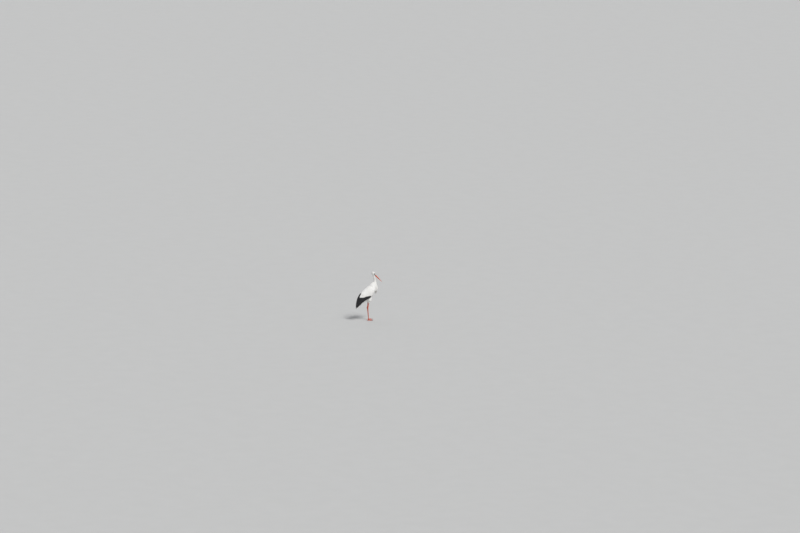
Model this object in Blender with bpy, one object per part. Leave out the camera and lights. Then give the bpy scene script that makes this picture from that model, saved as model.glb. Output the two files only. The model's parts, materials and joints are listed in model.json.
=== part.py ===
"""White stork, life size, standing at rest with its neck drawn in and its bill lowered.

The bird faces -Y, its left side is +X and it stands on z = 0. Lengths are in metres.
Profile points are written (forward, up): forward is -Y, and up is height over the floor.
The body is modelled whole and parted with thin cuts, and the wings are shells round it.
"""

import math

import bmesh
import bpy
from mathutils import Matrix, Vector

# ---------------------------------------------------------------- driving dimensions
GAP = 0.0003  # clearance where one body is parted by a cut
CLEARANCE = 0.0010  # how far a body is grown to cut what lies on it
BILL_LENGTH = 0.176  # from the edge of the feathers to the tip
BILL_HALF_DEPTH = 0.0135
BILL_HALF_WIDTH = 0.0105
BILL_PITCH = math.radians(46)  # how far the bill points below the level
HEAD_TURN = math.radians(-16)  # towards the bird's right
HEAD_CENTRE = (0.104, 0.865)
HEAD_FRONT = 0.050  # from the head's centre to the edge of the feathers at the bill
NECK_PIVOT = 0.085  # forward place of the upright axis that the head turns on
EYE_RADIUS = 0.0090
EYE_PLACE = (0.0158, 0.014, 0.0060)  # beside, ahead of and over the head's centre
HIP_SIDE = 0.044
FOOT_SIDE = 0.050
THIGH_END = 0.330  # height where the feathers of the leg end
HOCK_HEIGHT = 0.226
STEP = 0.022  # the left foot is this far ahead of the legs' middle, the right one behind
LEG_FORWARD = 0.004
TOE_HEIGHT = 0.0052
TOES = {  # name: heading from straight ahead, outwards positive, length, claw length
    "inner": (-34, 0.056, 0.012),
    "middle": (2, 0.074, 0.013),
    "outer": (36, 0.064, 0.012),
    "hind": (172, 0.030, 0.010),
}
TOES_BESIDE = {"inner": ["middle"], "middle": ["inner", "outer"], "outer": ["middle"], "hind": []}
PAD_TOP = 0.018
PAD_SECTIONS = [(0.0, 0.0095), (0.003, 0.0118), (0.008, 0.0120), (0.013, 0.0104), (PAD_TOP - GAP, 0.0080)]
PAD_CUTTER = 1.03  # the pad grown by this share, to cut the toes that start round it
HIND_SHARE = 0.85  # thickness of the hind toe against the front ones
SIDES = {"left": 1, "right": -1}

# Sections of the neck and trunk, from the skull down to the root of the tail:
# forward, up, half width, depth towards the back, depth towards the front.
BODY_SECTIONS = [
    (0.098, 0.886, 0.008, 0.009, 0.009),
    (0.094, 0.872, 0.0175, 0.0185, 0.018),
    (0.096, 0.852, 0.0215, 0.0225, 0.023),
    (0.110, 0.815, 0.0210, 0.0220, 0.0215),
    (0.1275, 0.748, 0.0235, 0.0240, 0.0225),
    (0.1300, 0.708, 0.0320, 0.0335, 0.0325),
    (0.1190, 0.672, 0.0460, 0.0600, 0.0500),
    (0.098, 0.622, 0.066, 0.080, 0.060),
    (0.062, 0.562, 0.079, 0.094, 0.070),
    (0.014, 0.506, 0.083, 0.098, 0.096),
    (-0.038, 0.452, 0.078, 0.092, 0.100),
    (-0.086, 0.404, 0.063, 0.076, 0.066),
    (-0.126, 0.362, 0.044, 0.052, 0.038),
    (-0.160, 0.322, 0.027, 0.027, 0.020),
    (-0.178, 0.298, 0.014, 0.011, 0.010),
]

# The same five numbers for the outside of the folded wings, from the shoulders to the tips,
# and then the thickness of the layer of feathers there.
WING_SECTIONS = [
    (0.104, 0.632, 0.062, 0.060, 0.050, 0.010),
    (0.078, 0.586, 0.082, 0.092, 0.076, 0.012),
    (0.045, 0.545, 0.0925, 0.105, 0.086, 0.013),
    (0.000, 0.500, 0.096, 0.112, 0.094, 0.014),
    (-0.048, 0.454, 0.093, 0.119, 0.096, 0.014),
    (-0.096, 0.408, 0.083, 0.120, 0.082, 0.013),
    (-0.138, 0.363, 0.070, 0.108, 0.064, 0.012),
    (-0.176, 0.318, 0.056, 0.083, 0.047, 0.010),
    (-0.212, 0.276, 0.041, 0.053, 0.032, 0.008),
    (-0.2388, 0.2435, 0.025, 0.027, 0.019, 0.006),
    (-0.2500, 0.2290, 0.010, 0.010, 0.009, 0.004),
]

# The head, from the back of the skull to the edge of the feathers at the bill:
# along the bill's axis, half width, height over the axis, depth under it.
HEAD_SECTIONS = [
    (-0.047, 0.0080, 0.0040, 0.0120),
    (-0.041, 0.0160, 0.0120, 0.0250),
    (-0.026, 0.0235, 0.0240, 0.0325),
    (-0.003, 0.0258, 0.0312, 0.0305),
    (0.020, 0.0228, 0.0284, 0.0256),
    (0.038, 0.0160, 0.0208, 0.0192),
    (HEAD_FRONT, 0.0112, 0.0143, 0.0143),
]

# The plumes that hang from the lower neck in front of the breast.
RUFF_SECTIONS = [
    (0.146, 0.692, 0.018, 0.016, 0.013),
    (0.153, 0.655, 0.040, 0.030, 0.023),
    (0.155, 0.612, 0.054, 0.042, 0.034),
    (0.155, 0.570, 0.053, 0.042, 0.036),
    (0.152, 0.535, 0.041, 0.033, 0.030),
    (0.151, 0.512, 0.025, 0.020, 0.018),
    (0.152, 0.499, 0.010, 0.008, 0.008),
]

# The closed tail, under the wings.
TAIL_SECTIONS = [
    (-0.148, 0.342, 0.016, 0.006, 0.008),
    (-0.172, 0.315, 0.028, 0.006, 0.007),
    (-0.207, 0.276, 0.034, 0.0045, 0.005),
    (-0.234, 0.245, 0.033, 0.003, 0.003),
    (-0.243, 0.235, 0.022, 0.002, 0.002),
]

# Outlines of the parts of a folded wing seen from the side. The lines between two parts
# are named, so that both parts follow the same one.
SCAPULAR_LINE = [(0.098, 0.612), (0.045, 0.552), (-0.030, 0.502), (-0.115, 0.460), (-0.210, 0.432)]
BLACK_LINE = [(0.006, 0.466), (-0.035, 0.461), (-0.100, 0.447), (-0.155, 0.436), (-0.210, 0.432)]
TERTIAL_LINE = [(-0.210, 0.432), (-0.184, 0.480), (-0.142, 0.532), (-0.100, 0.590)]
PRIMARY_LINE = [(-0.055, 0.402), (-0.120, 0.389), (-0.185, 0.350), (-0.235, 0.300), (-0.290, 0.225)]
LOWER_EDGE = [(0.006, 0.430), (-0.020, 0.416), (-0.055, 0.402)]
PRIMARY_EDGE = [(-0.055, 0.402), (-0.114, 0.372), (-0.180, 0.322), (-0.222, 0.268), (-0.262, 0.196)]
COVERT_FRONT = [
    (0.006, 0.466), (0.006, 0.430), (0.045, 0.452), (0.078, 0.498), (0.104, 0.560), (0.098, 0.612),
]
MANTLE_EDGE = [(0.098, 0.612), (0.066, 0.646), (0.020, 0.668)]


# ---------------------------------------------------------------- helpers
def world(forward, up, side=0.0):
    return Vector((side, -forward, up))


def smooth_rows(rows, steps):
    """Rows of numbers read from a Catmull-Rom curve, with that many steps between two rows."""
    ends = [rows[0], *rows, rows[-1]]
    found = []
    for a, b, c, d in zip(ends, ends[1:], ends[2:], ends[3:]):
        for step in range(steps):
            t = step / steps
            weights = (
                -0.5 * t + t**2 - 0.5 * t**3, 1 - 2.5 * t**2 + 1.5 * t**3,
                0.5 * t + 2 * t**2 - 1.5 * t**3, -0.5 * t**2 + 0.5 * t**3,
            )
            found.append(tuple(sum(w * v for w, v in zip(weights, four)) for four in zip(a, b, c, d)))
    return [*found, tuple(rows[-1])]


def add_object(name, mesh_builder):
    """An object from a bmesh with its faces turned outwards."""
    bmesh.ops.recalc_face_normals(mesh_builder, faces=mesh_builder.faces)
    mesh = bpy.data.meshes.new(name)
    mesh_builder.to_mesh(mesh)
    mesh_builder.free()
    made = bpy.data.objects.new(name, mesh)
    bpy.context.scene.collection.objects.link(made)
    return made


def loft(name, rings):
    """A closed body through rings of points, with a flat cap on each end."""
    body = bmesh.new()
    rows = [[body.verts.new(point) for point in ring] for ring in rings]
    count = len(rows[0])
    for low, high in zip(rows, rows[1:]):
        for i in range(count):
            j = (i + 1) % count
            body.faces.new((low[i], low[j], high[j], high[i]))
    body.faces.new(rows[0])
    body.faces.new(rows[-1])
    return add_object(name, body)


def oval(centre, across, deep, half_width, above, below, sides, floor=None):
    """Points round an oval whose two halves may differ in depth, kept over the floor if asked."""
    ring = []
    for i in range(sides):
        angle = 2 * math.pi * (i + 0.5) / sides
        depth = above if math.sin(angle) > 0 else below
        point = centre + across * half_width * math.cos(angle) + deep * depth * math.sin(angle)
        if floor is not None:
            point.z = max(point.z, floor)
        ring.append(point)
    return ring


def sweep(name, sections, steps, sides, grow=0.0, side=0.0):
    """A body along a curve in a plane beside the middle one. Sections are as in BODY_SECTIONS."""
    rows = smooth_rows(sections, steps)
    rings = []
    for i, (forward, up, half_width, back, front) in enumerate(rows):
        before, after = rows[max(i - 1, 0)], rows[min(i + 1, len(rows) - 1)]
        along = Vector((after[0] - before[0], after[1] - before[1])).normalized()
        centre, deep = world(forward, up, side), world(along[1], -along[0])
        sizes = (half_width + grow, back + grow, front + grow)
        rings.append(oval(centre, Vector((1, 0, 0)), deep, *sizes, sides))
    for end, beyond in ((0, 1), (-1, -2)):
        outwards = (rings[end][0] - rings[beyond][0]).normalized() * grow
        rings[end] = [point + outwards for point in rings[end]]
    return loft(name, rings)


def boolean(body, other, operation):
    """Applies a Boolean with the exact solver."""
    modifier = body.modifiers.new("cut", "BOOLEAN")
    modifier.operation = operation
    modifier.solver = "EXACT"
    modifier.object = other
    bpy.context.view_layer.update()
    shaped = body.evaluated_get(bpy.context.evaluated_depsgraph_get())
    mesh = bpy.data.meshes.new_from_object(shaped)
    body.modifiers.clear()
    body.data = mesh
    return body


def copy_of(body, name):
    made = bpy.data.objects.new(name, body.data.copy())
    bpy.context.scene.collection.objects.link(made)
    return made


def keep_beyond(body, point, outwards):
    """Cuts the body by a plane, keeps the side that the direction points to and closes it."""
    cut = bmesh.new()
    cut.from_mesh(body.data)
    everything = [*cut.verts, *cut.edges, *cut.faces]
    bmesh.ops.bisect_plane(cut, geom=everything, plane_co=point, plane_no=outwards, clear_inner=True)
    bmesh.ops.holes_fill(cut, edges=[edge for edge in cut.edges if edge.is_boundary])
    bmesh.ops.recalc_face_normals(cut, faces=cut.faces)
    cut.to_mesh(body.data)
    cut.free()
    return body


def remove(*bodies):
    for body in bodies:
        bpy.data.objects.remove(body)


def finish(body, name, finish_of):
    """Names a node, gives it a material of its own and shades it smooth."""
    body.name = name
    colour, roughness = FINISHES[finish_of]
    material = bpy.data.materials.new(name + "_" + finish_of)
    material.use_nodes = True
    shader = material.node_tree.nodes["Principled BSDF"]
    shader.inputs["Base Color"].default_value = (*colour, 1)
    shader.inputs["Roughness"].default_value = roughness
    shader.inputs["Metallic"].default_value = 0.0
    body.data.materials.clear()
    body.data.materials.append(material)
    body.data.shade_smooth()
    body.data.set_sharp_from_angle(angle=math.radians(50))
    return body


FINISHES = {
    "white_feather": ((0.86, 0.86, 0.83), 0.85),
    "black_feather": ((0.012, 0.012, 0.014), 0.5),
    "red_horn": ((0.75, 0.13, 0.035), 0.4),
    "red_skin": ((0.72, 0.16, 0.06), 0.6),
    "dark_horn": ((0.10, 0.07, 0.06), 0.5),
    "eye": ((0.02, 0.014, 0.01), 0.08),
}


# ---------------------------------------------------------------- head, neck and trunk
def head_matrix():
    """From the head's own axes, with the bill along -Y, to the bird's."""
    forward, up = HEAD_CENTRE
    turn = Matrix.Rotation(HEAD_TURN, 4, "Z")
    pivot = world(NECK_PIVOT, up)
    offset = world(forward - NECK_PIVOT, 0)
    return Matrix.Translation(pivot + turn @ offset) @ turn @ Matrix.Rotation(BILL_PITCH, 4, "X")


def in_head(side, ahead, over):
    return head_matrix() @ Vector((side, -ahead, over))


def along_bill(name, sections, steps, sides, grow=0.0):
    """A body along the bill's axis. A section is place, half width, height and depth."""
    frame = head_matrix()
    across, over = frame.to_3x3() @ Vector((1, 0, 0)), frame.to_3x3() @ Vector((0, 0, 1))
    rings = [
        oval(frame @ Vector((0, -place, 0)), across, over, wide + grow, above + grow, below + grow, sides)
        for place, wide, above, below in smooth_rows(sections, steps)
    ]
    for end, beyond in ((0, 1), (-1, -2)):
        outwards = (rings[end][0] - rings[beyond][0]).normalized() * grow
        rings[end] = [point + outwards for point in rings[end]]
    return loft(name, rings)


def flesh(grow=0.0):
    """Head, neck and trunk in one, grown all round if asked, to cut what lies on them."""
    body = sweep("flesh", BODY_SECTIONS, 2, 20, grow)
    skull = along_bill("skull", HEAD_SECTIONS, 2, 16, grow)
    boolean(body, skull, "UNION")
    remove(skull)
    return body


def make_body():
    """The trunk, two lengths of neck, the head with its eyes."""
    whole = flesh()
    cuts = [  # a point on each cut, and the direction of the neck there, downwards
        (world(0.107, 0.820), world(-0.20, -0.98)),
        (world(0.128, 0.722), world(0.02, -1.0)),
        (world(0.090, 0.612), world(-0.42, -0.90)),
    ]
    names = ["head", "neck_upper", "neck_lower", "trunk"]
    parts = {}
    for i, name in enumerate(names):
        part = copy_of(whole, name)
        if i > 0:
            point, down = cuts[i - 1]
            keep_beyond(part, point + down.normalized() * GAP / 2, down)
        if i < len(cuts):
            point, down = cuts[i]
            keep_beyond(part, point - down.normalized() * GAP / 2, -down)
        parts[name] = part
    remove(whole)
    for name, sign in SIDES.items():
        parts["eye_" + name] = ball(EYE_RADIUS, in_head(sign * EYE_PLACE[0], *EYE_PLACE[1:]))
        socket = ball(EYE_RADIUS + GAP, in_head(sign * EYE_PLACE[0], *EYE_PLACE[1:]))
        boolean(parts["head"], socket, "DIFFERENCE")
        remove(socket)
    for name, part in parts.items():
        finish(part, name, "eye" if name.startswith("eye") else "white_feather")


def ball(radius, centre):
    body = bmesh.new()
    place = Matrix.Translation(centre)
    bmesh.ops.create_uvsphere(body, u_segments=12, v_segments=8, radius=radius, matrix=place)
    return add_object("ball", body)


def make_bill(around):
    """Upper and lower mandible, parted along the cutting edges."""
    tip = HEAD_FRONT + BILL_LENGTH
    shares = [  # share of the visible length, share of the base's width and of its depth
        (-0.10, 1.00, 1.00), (0.00, 1.00, 1.00), (0.20, 0.80, 0.80), (0.45, 0.58, 0.60),
        (0.70, 0.39, 0.42), (0.90, 0.19, 0.22), (1.00, 0.05, 0.07),
    ]
    sections = []
    for share, wide, deep in shares:
        depth = BILL_HALF_DEPTH * deep
        sections.append((HEAD_FRONT + share * BILL_LENGTH, BILL_HALF_WIDTH * wide, depth, depth))
    whole = along_bill("bill", sections, 2, 14)
    boolean(whole, around, "DIFFERENCE")
    edge, over = in_head(0, tip, -0.0004), in_head(0, tip, 0) - in_head(0, tip, -1)
    upper = keep_beyond(copy_of(whole, "bill_upper"), edge + over * GAP / 2, over)
    lower = keep_beyond(copy_of(whole, "bill_lower"), edge - over * GAP / 2, -over)
    remove(whole)
    finish(upper, "bill_upper", "red_horn")
    finish(lower, "bill_lower", "red_horn")


# ---------------------------------------------------------------- wings and tail
def drawn_in(outline, amount):
    """The outline, which runs anticlockwise, moved inwards by that amount."""
    found = []
    for before, here, after in zip([outline[-1], *outline], outline, [*outline[1:], outline[0]]):
        first = Vector((here[0] - before[0], here[1] - before[1])).normalized()
        second = Vector((after[0] - here[0], after[1] - here[1])).normalized()
        normal = Vector((-first.y - second.y, first.x + second.x)).normalized()
        miter = max(normal.dot(Vector((-first.y, first.x))), 0.3)
        found.append((here[0] + normal.x * amount / miter, here[1] + normal.y * amount / miter))
    return found


def prism(outline, reach):
    """The outline, drawn in by half a gap and pushed out sideways from the middle plane."""
    area = sum(p[0] * q[1] - q[0] * p[1] for p, q in zip(outline, [*outline[1:], outline[0]]))
    outline = drawn_in(outline if area > 0 else outline[::-1], GAP / 2)
    start = math.copysign(GAP / 2, reach)
    return loft("prism", [[world(forward, up, side) for forward, up in outline] for side in (start, reach)])


def curve(points, steps=3):
    return smooth_rows(points, steps)


def wing_outlines():
    """Side outlines of a wing's four parts."""
    beyond = [(-0.30, 0.30), (-0.30, 0.64), (-0.100, 0.64)]  # outside the wing, behind and over it
    scapular, black = curve(SCAPULAR_LINE), curve(BLACK_LINE)
    tertial, primary = curve(TERTIAL_LINE), curve(PRIMARY_LINE)
    return {
        "scapulars": scapular[:-1] + tertial + [(0.020, 0.72)] + curve(MANTLE_EDGE)[::-1][:-1],
        "coverts": black[:-1] + scapular[::-1] + curve(COVERT_FRONT, 2)[::-1][1:-3],
        "secondaries": black[:-1] + tertial + beyond[::-1] + primary[::-1] + LOWER_EDGE[::-1][1:],
        "primaries": curve(PRIMARY_EDGE) + primary[::-1][:-1],
    }


def make_wings(around, tail_cutter, thigh_cutters):
    outer = sweep("wing_outside", [row[:5] for row in WING_SECTIONS], 2, 20)
    inner_rows = [(f, u, w - t, b - t, d - t) for f, u, w, b, d, t in WING_SECTIONS[1:-1]]
    inner = sweep("wing_inside", inner_rows, 2, 20)
    for cutter in (inner, around, tail_cutter, *thigh_cutters):
        boolean(outer, cutter, "DIFFERENCE")
    for part, outline in wing_outlines().items():
        for name, sign in SIDES.items():
            region = prism(outline, sign * 0.2)
            piece = boolean(copy_of(outer, part), region, "INTERSECT")
            white = part in ("scapulars", "coverts")
            finish(piece, f"wing_{name}_{part}", "white_feather" if white else "black_feather")
            remove(region)
    remove(outer, inner)


def make_tail(around):
    tail = boolean(sweep("tail", TAIL_SECTIONS, 2, 16), around, "DIFFERENCE")
    return finish(tail, "tail", "white_feather")


# ---------------------------------------------------------------- legs
def leg_forward(sign):
    return LEG_FORWARD + sign * STEP


def thigh_sections(sign):
    low = leg_forward(sign) * 0.45 - 0.004
    return [
        (0.000, 0.450, 0.026, 0.044, 0.052),
        (0.001, 0.405, 0.029, 0.041, 0.050),
        (low * 0.6, 0.372, 0.025, 0.031, 0.037),
        (low * 0.9, 0.348, 0.018, 0.021, 0.023),
        (low, THIGH_END - 0.006, 0.0105, 0.012, 0.013),
    ]


def make_thigh(name, sign, around):
    thigh = sweep("thigh", thigh_sections(sign), 2, 16, side=sign * HIP_SIDE)
    boolean(thigh, around, "DIFFERENCE")
    keep_beyond(thigh, Vector((0, 0, THIGH_END)), Vector((0, 0, 1)))
    return finish(thigh, "thigh_" + name, "white_feather")


def make_leg(name, sign):
    """Bare shin, hock and shank down to the foot's pad."""
    top = thigh_sections(sign)[-1]
    hock = (top[0] + leg_forward(sign)) / 2 - 0.019
    foot = leg_forward(sign)
    rows = [  # forward, up, half width, depth behind, depth in front, side
        (top[0], THIGH_END - GAP, 0.0075, 0.0085, 0.0085, HIP_SIDE),
        (top[0] * 0.7 + hock * 0.3, 0.297, 0.0060, 0.0068, 0.0068, HIP_SIDE + 0.001),
        (top[0] * 0.3 + hock * 0.7, 0.256, 0.0062, 0.0075, 0.0070, HIP_SIDE + 0.002),
        (hock + 0.001, 0.238, 0.0085, 0.0112, 0.0085, HIP_SIDE + 0.003),
        (hock, HOCK_HEIGHT, 0.0092, 0.0125, 0.0092, HIP_SIDE + 0.003),
        (hock + 0.002, 0.212, 0.0080, 0.0105, 0.0082, HIP_SIDE + 0.003),
        (hock * 0.8 + foot * 0.2, 0.180, 0.0056, 0.0066, 0.0064, HIP_SIDE + 0.004),
        (hock * 0.5 + foot * 0.5, 0.110, 0.0052, 0.0062, 0.0060, HIP_SIDE + 0.005),
        (hock * 0.18 + foot * 0.82, 0.045, 0.0057, 0.0064, 0.0062, FOOT_SIDE),
        (foot, PAD_TOP, 0.0080, 0.0080, 0.0078, FOOT_SIDE),
    ]
    rows = smooth_rows(rows, 2)
    rings = []
    for i, (forward, up, wide, back, front, beside) in enumerate(rows):
        before, after = rows[max(i - 1, 0)], rows[min(i + 1, len(rows) - 1)]
        along = Vector((after[0] - before[0], after[1] - before[1])).normalized()
        if i in (0, len(rows) - 1):
            along = Vector((0, -1))
        centre = world(forward, up, sign * beside)
        rings.append(oval(centre, Vector((1, 0, 0)), world(along[1], -along[0]), wide, back, front, 10))
    whole = loft("leg", rings)
    joint, down = world(hock, HOCK_HEIGHT, 0), world(0.1, -1)
    shin = keep_beyond(copy_of(whole, "shin"), joint - down.normalized() * GAP / 2, -down)
    shank = keep_beyond(copy_of(whole, "shank"), joint + down.normalized() * GAP / 2, down)
    remove(whole)
    finish(shin, "shin_" + name, "red_skin")
    finish(shank, "shank_" + name, "red_skin")


def make_foot(name, sign):
    """A pad under the shank, with four toes on small flats and a claw on each."""
    centre = world(leg_forward(sign), 0.0, sign * FOOT_SIDE)
    rings = []
    for height, reach in PAD_SECTIONS:
        middle = centre + Vector((0, 0, height))
        rings.append(oval(middle, Vector((1, 0, 0)), Vector((0, 1, 0)), reach, reach * 1.1, reach, 12))
    pad = finish(loft("foot", rings), "foot_" + name, "red_skin")
    grown = [[centre + (point - centre) * PAD_CUTTER for point in ring] for ring in rings]
    pad_cutter = loft("pad_cutter", grown)
    pad_cutter.location.z = -GAP / 2
    bpy.context.view_layer.update()
    for toe, (heading, length, claw_length) in TOES.items():
        angle = math.radians(heading) * sign
        ahead = Vector((math.sin(angle), -math.cos(angle), 0))
        across = Vector((ahead.y, -ahead.x, 0))
        hind = toe == "hind"
        body, pieces = [], 6
        for i in range(pieces + 1):
            share = i / pieces
            knuckle = 1 + 0.10 * math.cos(2 * math.pi * share * (2 if hind else 3))
            wide = (0.0056 - 0.0020 * share) * knuckle * (HIND_SHARE if hind else 1)
            high = (0.0060 - 0.0022 * share) * knuckle * (HIND_SHARE if hind else 1)
            start = 0.004 if hind else 0.003
            place = centre + ahead * (start + (length - start) * share)
            place.z = TOE_HEIGHT * (1 - 0.30 * share) + (0.003 * (1 - share) if hind else 0)
            body.append(oval(place, across, Vector((0, 0, 1)), wide, high, high, 8, floor=0.0))
        made = boolean(loft("toe", body), pad_cutter, "DIFFERENCE")
        for neighbour in TOES_BESIDE[toe]:
            between = math.radians((heading + TOES[neighbour][0]) / 2) * sign
            away = Vector((math.cos(between), math.sin(between), 0)) * sign
            if heading < TOES[neighbour][0]:
                away = -away
            keep_beyond(made, centre + away * GAP / 2, away)
        finish(made, f"toe_{name}_{toe}", "red_skin")
        claw = []
        for i in range(4):
            share = i / 3
            place = centre + ahead * (length + GAP + claw_length * share)
            place.z = TOE_HEIGHT * 0.70 * (1 - 0.62 * share**1.5)
            wide, high = 0.0030 * (1 - 0.80 * share**1.6), 0.0027 * (1 - 0.78 * share**1.6)
            claw.append(oval(place, across, Vector((0, 0, 1)), wide, high, high, 8, floor=0.0))
        finish(loft("claw", claw), f"claw_{name}_{toe}", "dark_horn")
    remove(pad_cutter)


def centre_on_floor():
    """Moves every piece so that the origin is under the middle of the whole bird, on the floor."""
    bpy.context.view_layer.update()
    bodies = [item for item in bpy.context.scene.objects if item.type == "MESH"]
    places = [item.matrix_world @ vertex.co for item in bodies for vertex in item.data.vertices]
    low = Vector(min(place[i] for place in places) for i in range(3))
    high = Vector(max(place[i] for place in places) for i in range(3))
    shift = Vector(((low.x + high.x) / 2, (low.y + high.y) / 2, low.z))
    for item in bodies:
        item.data.transform(item.matrix_world @ Matrix.Translation(-shift))
        item.matrix_world = Matrix.Identity(4)


def main():
    for item in list(bpy.data.objects):
        bpy.data.objects.remove(item)
    make_body()
    around = flesh(CLEARANCE)
    make_bill(around)
    ruff = boolean(sweep("ruff", RUFF_SECTIONS, 2, 16), around, "DIFFERENCE")
    finish(ruff, "breast_plumes", "white_feather")
    make_tail(around)
    tail_cutter = sweep("tail_cutter", TAIL_SECTIONS, 2, 16, grow=CLEARANCE)
    thigh_cutters = []
    for name, sign in SIDES.items():
        make_thigh(name, sign, around)
        sections = thigh_sections(sign)
        thigh_cutters.append(sweep("thigh_cutter", sections, 2, 16, grow=CLEARANCE, side=sign * HIP_SIDE))
        make_leg(name, sign)
        make_foot(name, sign)
    make_wings(around, tail_cutter, thigh_cutters)
    remove(around, tail_cutter, *thigh_cutters)
    centre_on_floor()


main()
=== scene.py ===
"""A white stork as a museum shows it: a skin with laid feathers, bill, eyes and bare legs."""

import math

import bmesh
import bpy
import numpy as np
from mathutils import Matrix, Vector
from mathutils.bvhtree import BVHTree
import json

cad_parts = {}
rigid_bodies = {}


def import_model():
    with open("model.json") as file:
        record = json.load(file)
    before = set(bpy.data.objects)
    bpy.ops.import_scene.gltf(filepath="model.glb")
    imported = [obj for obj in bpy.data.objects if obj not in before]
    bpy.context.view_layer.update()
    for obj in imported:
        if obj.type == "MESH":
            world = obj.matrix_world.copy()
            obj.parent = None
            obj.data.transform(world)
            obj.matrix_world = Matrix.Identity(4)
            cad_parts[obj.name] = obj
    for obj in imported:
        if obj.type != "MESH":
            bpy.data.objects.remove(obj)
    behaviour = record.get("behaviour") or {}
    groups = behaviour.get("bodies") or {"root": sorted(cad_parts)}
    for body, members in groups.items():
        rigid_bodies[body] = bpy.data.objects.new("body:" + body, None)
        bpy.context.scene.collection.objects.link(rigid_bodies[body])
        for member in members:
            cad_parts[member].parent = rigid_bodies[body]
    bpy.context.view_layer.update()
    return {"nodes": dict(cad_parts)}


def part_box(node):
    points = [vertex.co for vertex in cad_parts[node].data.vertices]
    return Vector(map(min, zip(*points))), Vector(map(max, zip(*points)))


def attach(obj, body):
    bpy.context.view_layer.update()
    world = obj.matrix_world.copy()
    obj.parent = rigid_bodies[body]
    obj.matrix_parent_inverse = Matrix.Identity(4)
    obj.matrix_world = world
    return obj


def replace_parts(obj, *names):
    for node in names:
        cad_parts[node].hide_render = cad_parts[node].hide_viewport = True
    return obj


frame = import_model()
NODES = frame["nodes"]
SIDES = {"left": 1, "right": -1}

# ---------------------------------------------------------------- dimensions, in metres
SKIN_VOXEL = 0.003
CLOSING = 0.007  # gaps between solids up to twice this wide are bridged by the skin
COAT_DEPTH = {  # how far the skin lies inside the solids under each sort of feather
    "head": 0.0015, "neck_upper": 0.003, "neck_lower": 0.004, "breast_plumes": 0.008,
    "trunk": 0.005, "thigh": 0.004, "scapulars": 0.004, "coverts": 0.004,
}
FLESH = ["head", "neck_upper", "neck_lower", "breast_plumes", "trunk", "thigh_left", "thigh_right"]
WING_PARTS = ("scapulars", "coverts", "secondaries", "primaries")  # the first two are white
WING_FLESH = [f"wing_{side}_{part}" for side in SIDES for part in WING_PARTS[:2]]
BLACK_WING = [f"wing_{side}_{part}" for side in SIDES for part in WING_PARTS[2:]]
TOES = ("inner", "middle", "outer", "hind")
FACE_CUTS = 3  # how often the skin's faces are divided round the bill and the eyes
EYE_SUNK = 0.0015  # how much deeper the eyes lie than the plain solids of the eyes
EYE_SLACK = 0.0003  # how much smaller the eyeballs are than those solids
NOSTRIL_PLACE = 0.145  # share of the bill's length
NOSTRIL_HALF = np.array([0.0085, 0.0030, 0.0013])  # half its length, depth and height
NOSTRIL_SLANT = 0.00072  # how much lower its front end is than its middle
MOUTH_GAP = 0.0002  # from the mouth's middle plane to each half of the bill
LID_GAP = 0.0002  # between the eyeball and the lids
LID_ANGLES = (42, 34, 86)  # from the gaze to the opening's ends, its top and the lids' outer edge
GAPE = np.array([-0.004, -0.004])  # the mouth's corner, ahead of the bill's base and over its axis
LEG_VOXEL = 0.0008
BARE_DEPTH = 0.0004  # how much deeper the bare skin lies
BLACK_EDGE = 0.005  # how much deeper the skin lies beside the black feathers, and again under
MERGED = 0.00002  # corners of loose triangles that are nearer than this are one
PATCH = 0.003  # side of a feather's own patch of the skin's unwrap
FAR = 0.3  # further out from a wing's axis than any part of the wing
UNDER_BLACK = 0.017  # how deep the skin lies at least under the wing's black feathers
BURIED = 0.010  # how deep the black feathers' roots lie under the white ones
WHITE_TRIALS = 14000  # places tried for the wings' white feathers
LINING_DEPTH = 0.0044  # how far the lining lies inside the black solids
LINING_SUNK = 0.0056  # how deep it lies at least under the wing's outside
LINING_END = 0.80  # share of the wing's length from which the lining narrows
LEG_CLOSING = 0.0020  # fills the forks of the toes, as the small webs there do
PLATE_RISE = 0.00036  # height of the plates of skin on the legs
PLATE_LENGTH = 0.0036
PLATES_AROUND = 9
TOE_PLATE = 0.0037
TOE_REACH = 0.008  # further from a toe's middle line than any of its skin
TOE_TUCK = 0.005  # length of the toe's end that narrows towards the claw
TOE_DRAW = 0.32  # share by which it narrows
CLAW_FILL = 0.0007  # growth that rounding takes off the claws again
RANDOM = np.random.default_rng(7)


# ---------------------------------------------------------------- helpers
def select_only(*objects):
    if bpy.context.object and bpy.context.object.mode != "OBJECT":
        bpy.ops.object.mode_set(mode="OBJECT")
    bpy.ops.object.select_all(action="DESELECT")
    for item in objects:
        item.select_set(True)
    bpy.context.view_layer.objects.active = objects[0]


def primitive(kind, title, **settings):
    """A new primitive mesh, which is then the only thing selected."""
    bpy.ops.object.select_all(action="DESELECT")
    getattr(bpy.ops.mesh, f"primitive_{kind}_add")(**settings)
    piece = bpy.context.object
    piece.name = piece.data.name = title
    return piece


def edited(piece, *steps, chosen=None, mode="FACE"):
    """Runs operators in edit mode on all of a piece, or on its chosen vertices, edges or faces."""
    select_only(piece)
    bpy.ops.object.mode_set(mode="EDIT")
    bpy.ops.mesh.select_mode(type=mode)
    bpy.ops.mesh.select_all(action="SELECT" if chosen is None else "DESELECT")
    if chosen is not None:
        bpy.ops.object.mode_set(mode="OBJECT")
        kind = {"VERT": "vertices", "EDGE": "edges", "FACE": "polygons"}[mode]
        getattr(piece.data, kind).foreach_set("select", chosen)
        bpy.ops.object.mode_set(mode="EDIT")
    for operator, settings in steps:
        operator(**settings)
    bpy.ops.object.mode_set(mode="OBJECT")
    return piece


OUTWARDS = (bpy.ops.mesh.normals_make_consistent, {"inside": False})


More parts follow.
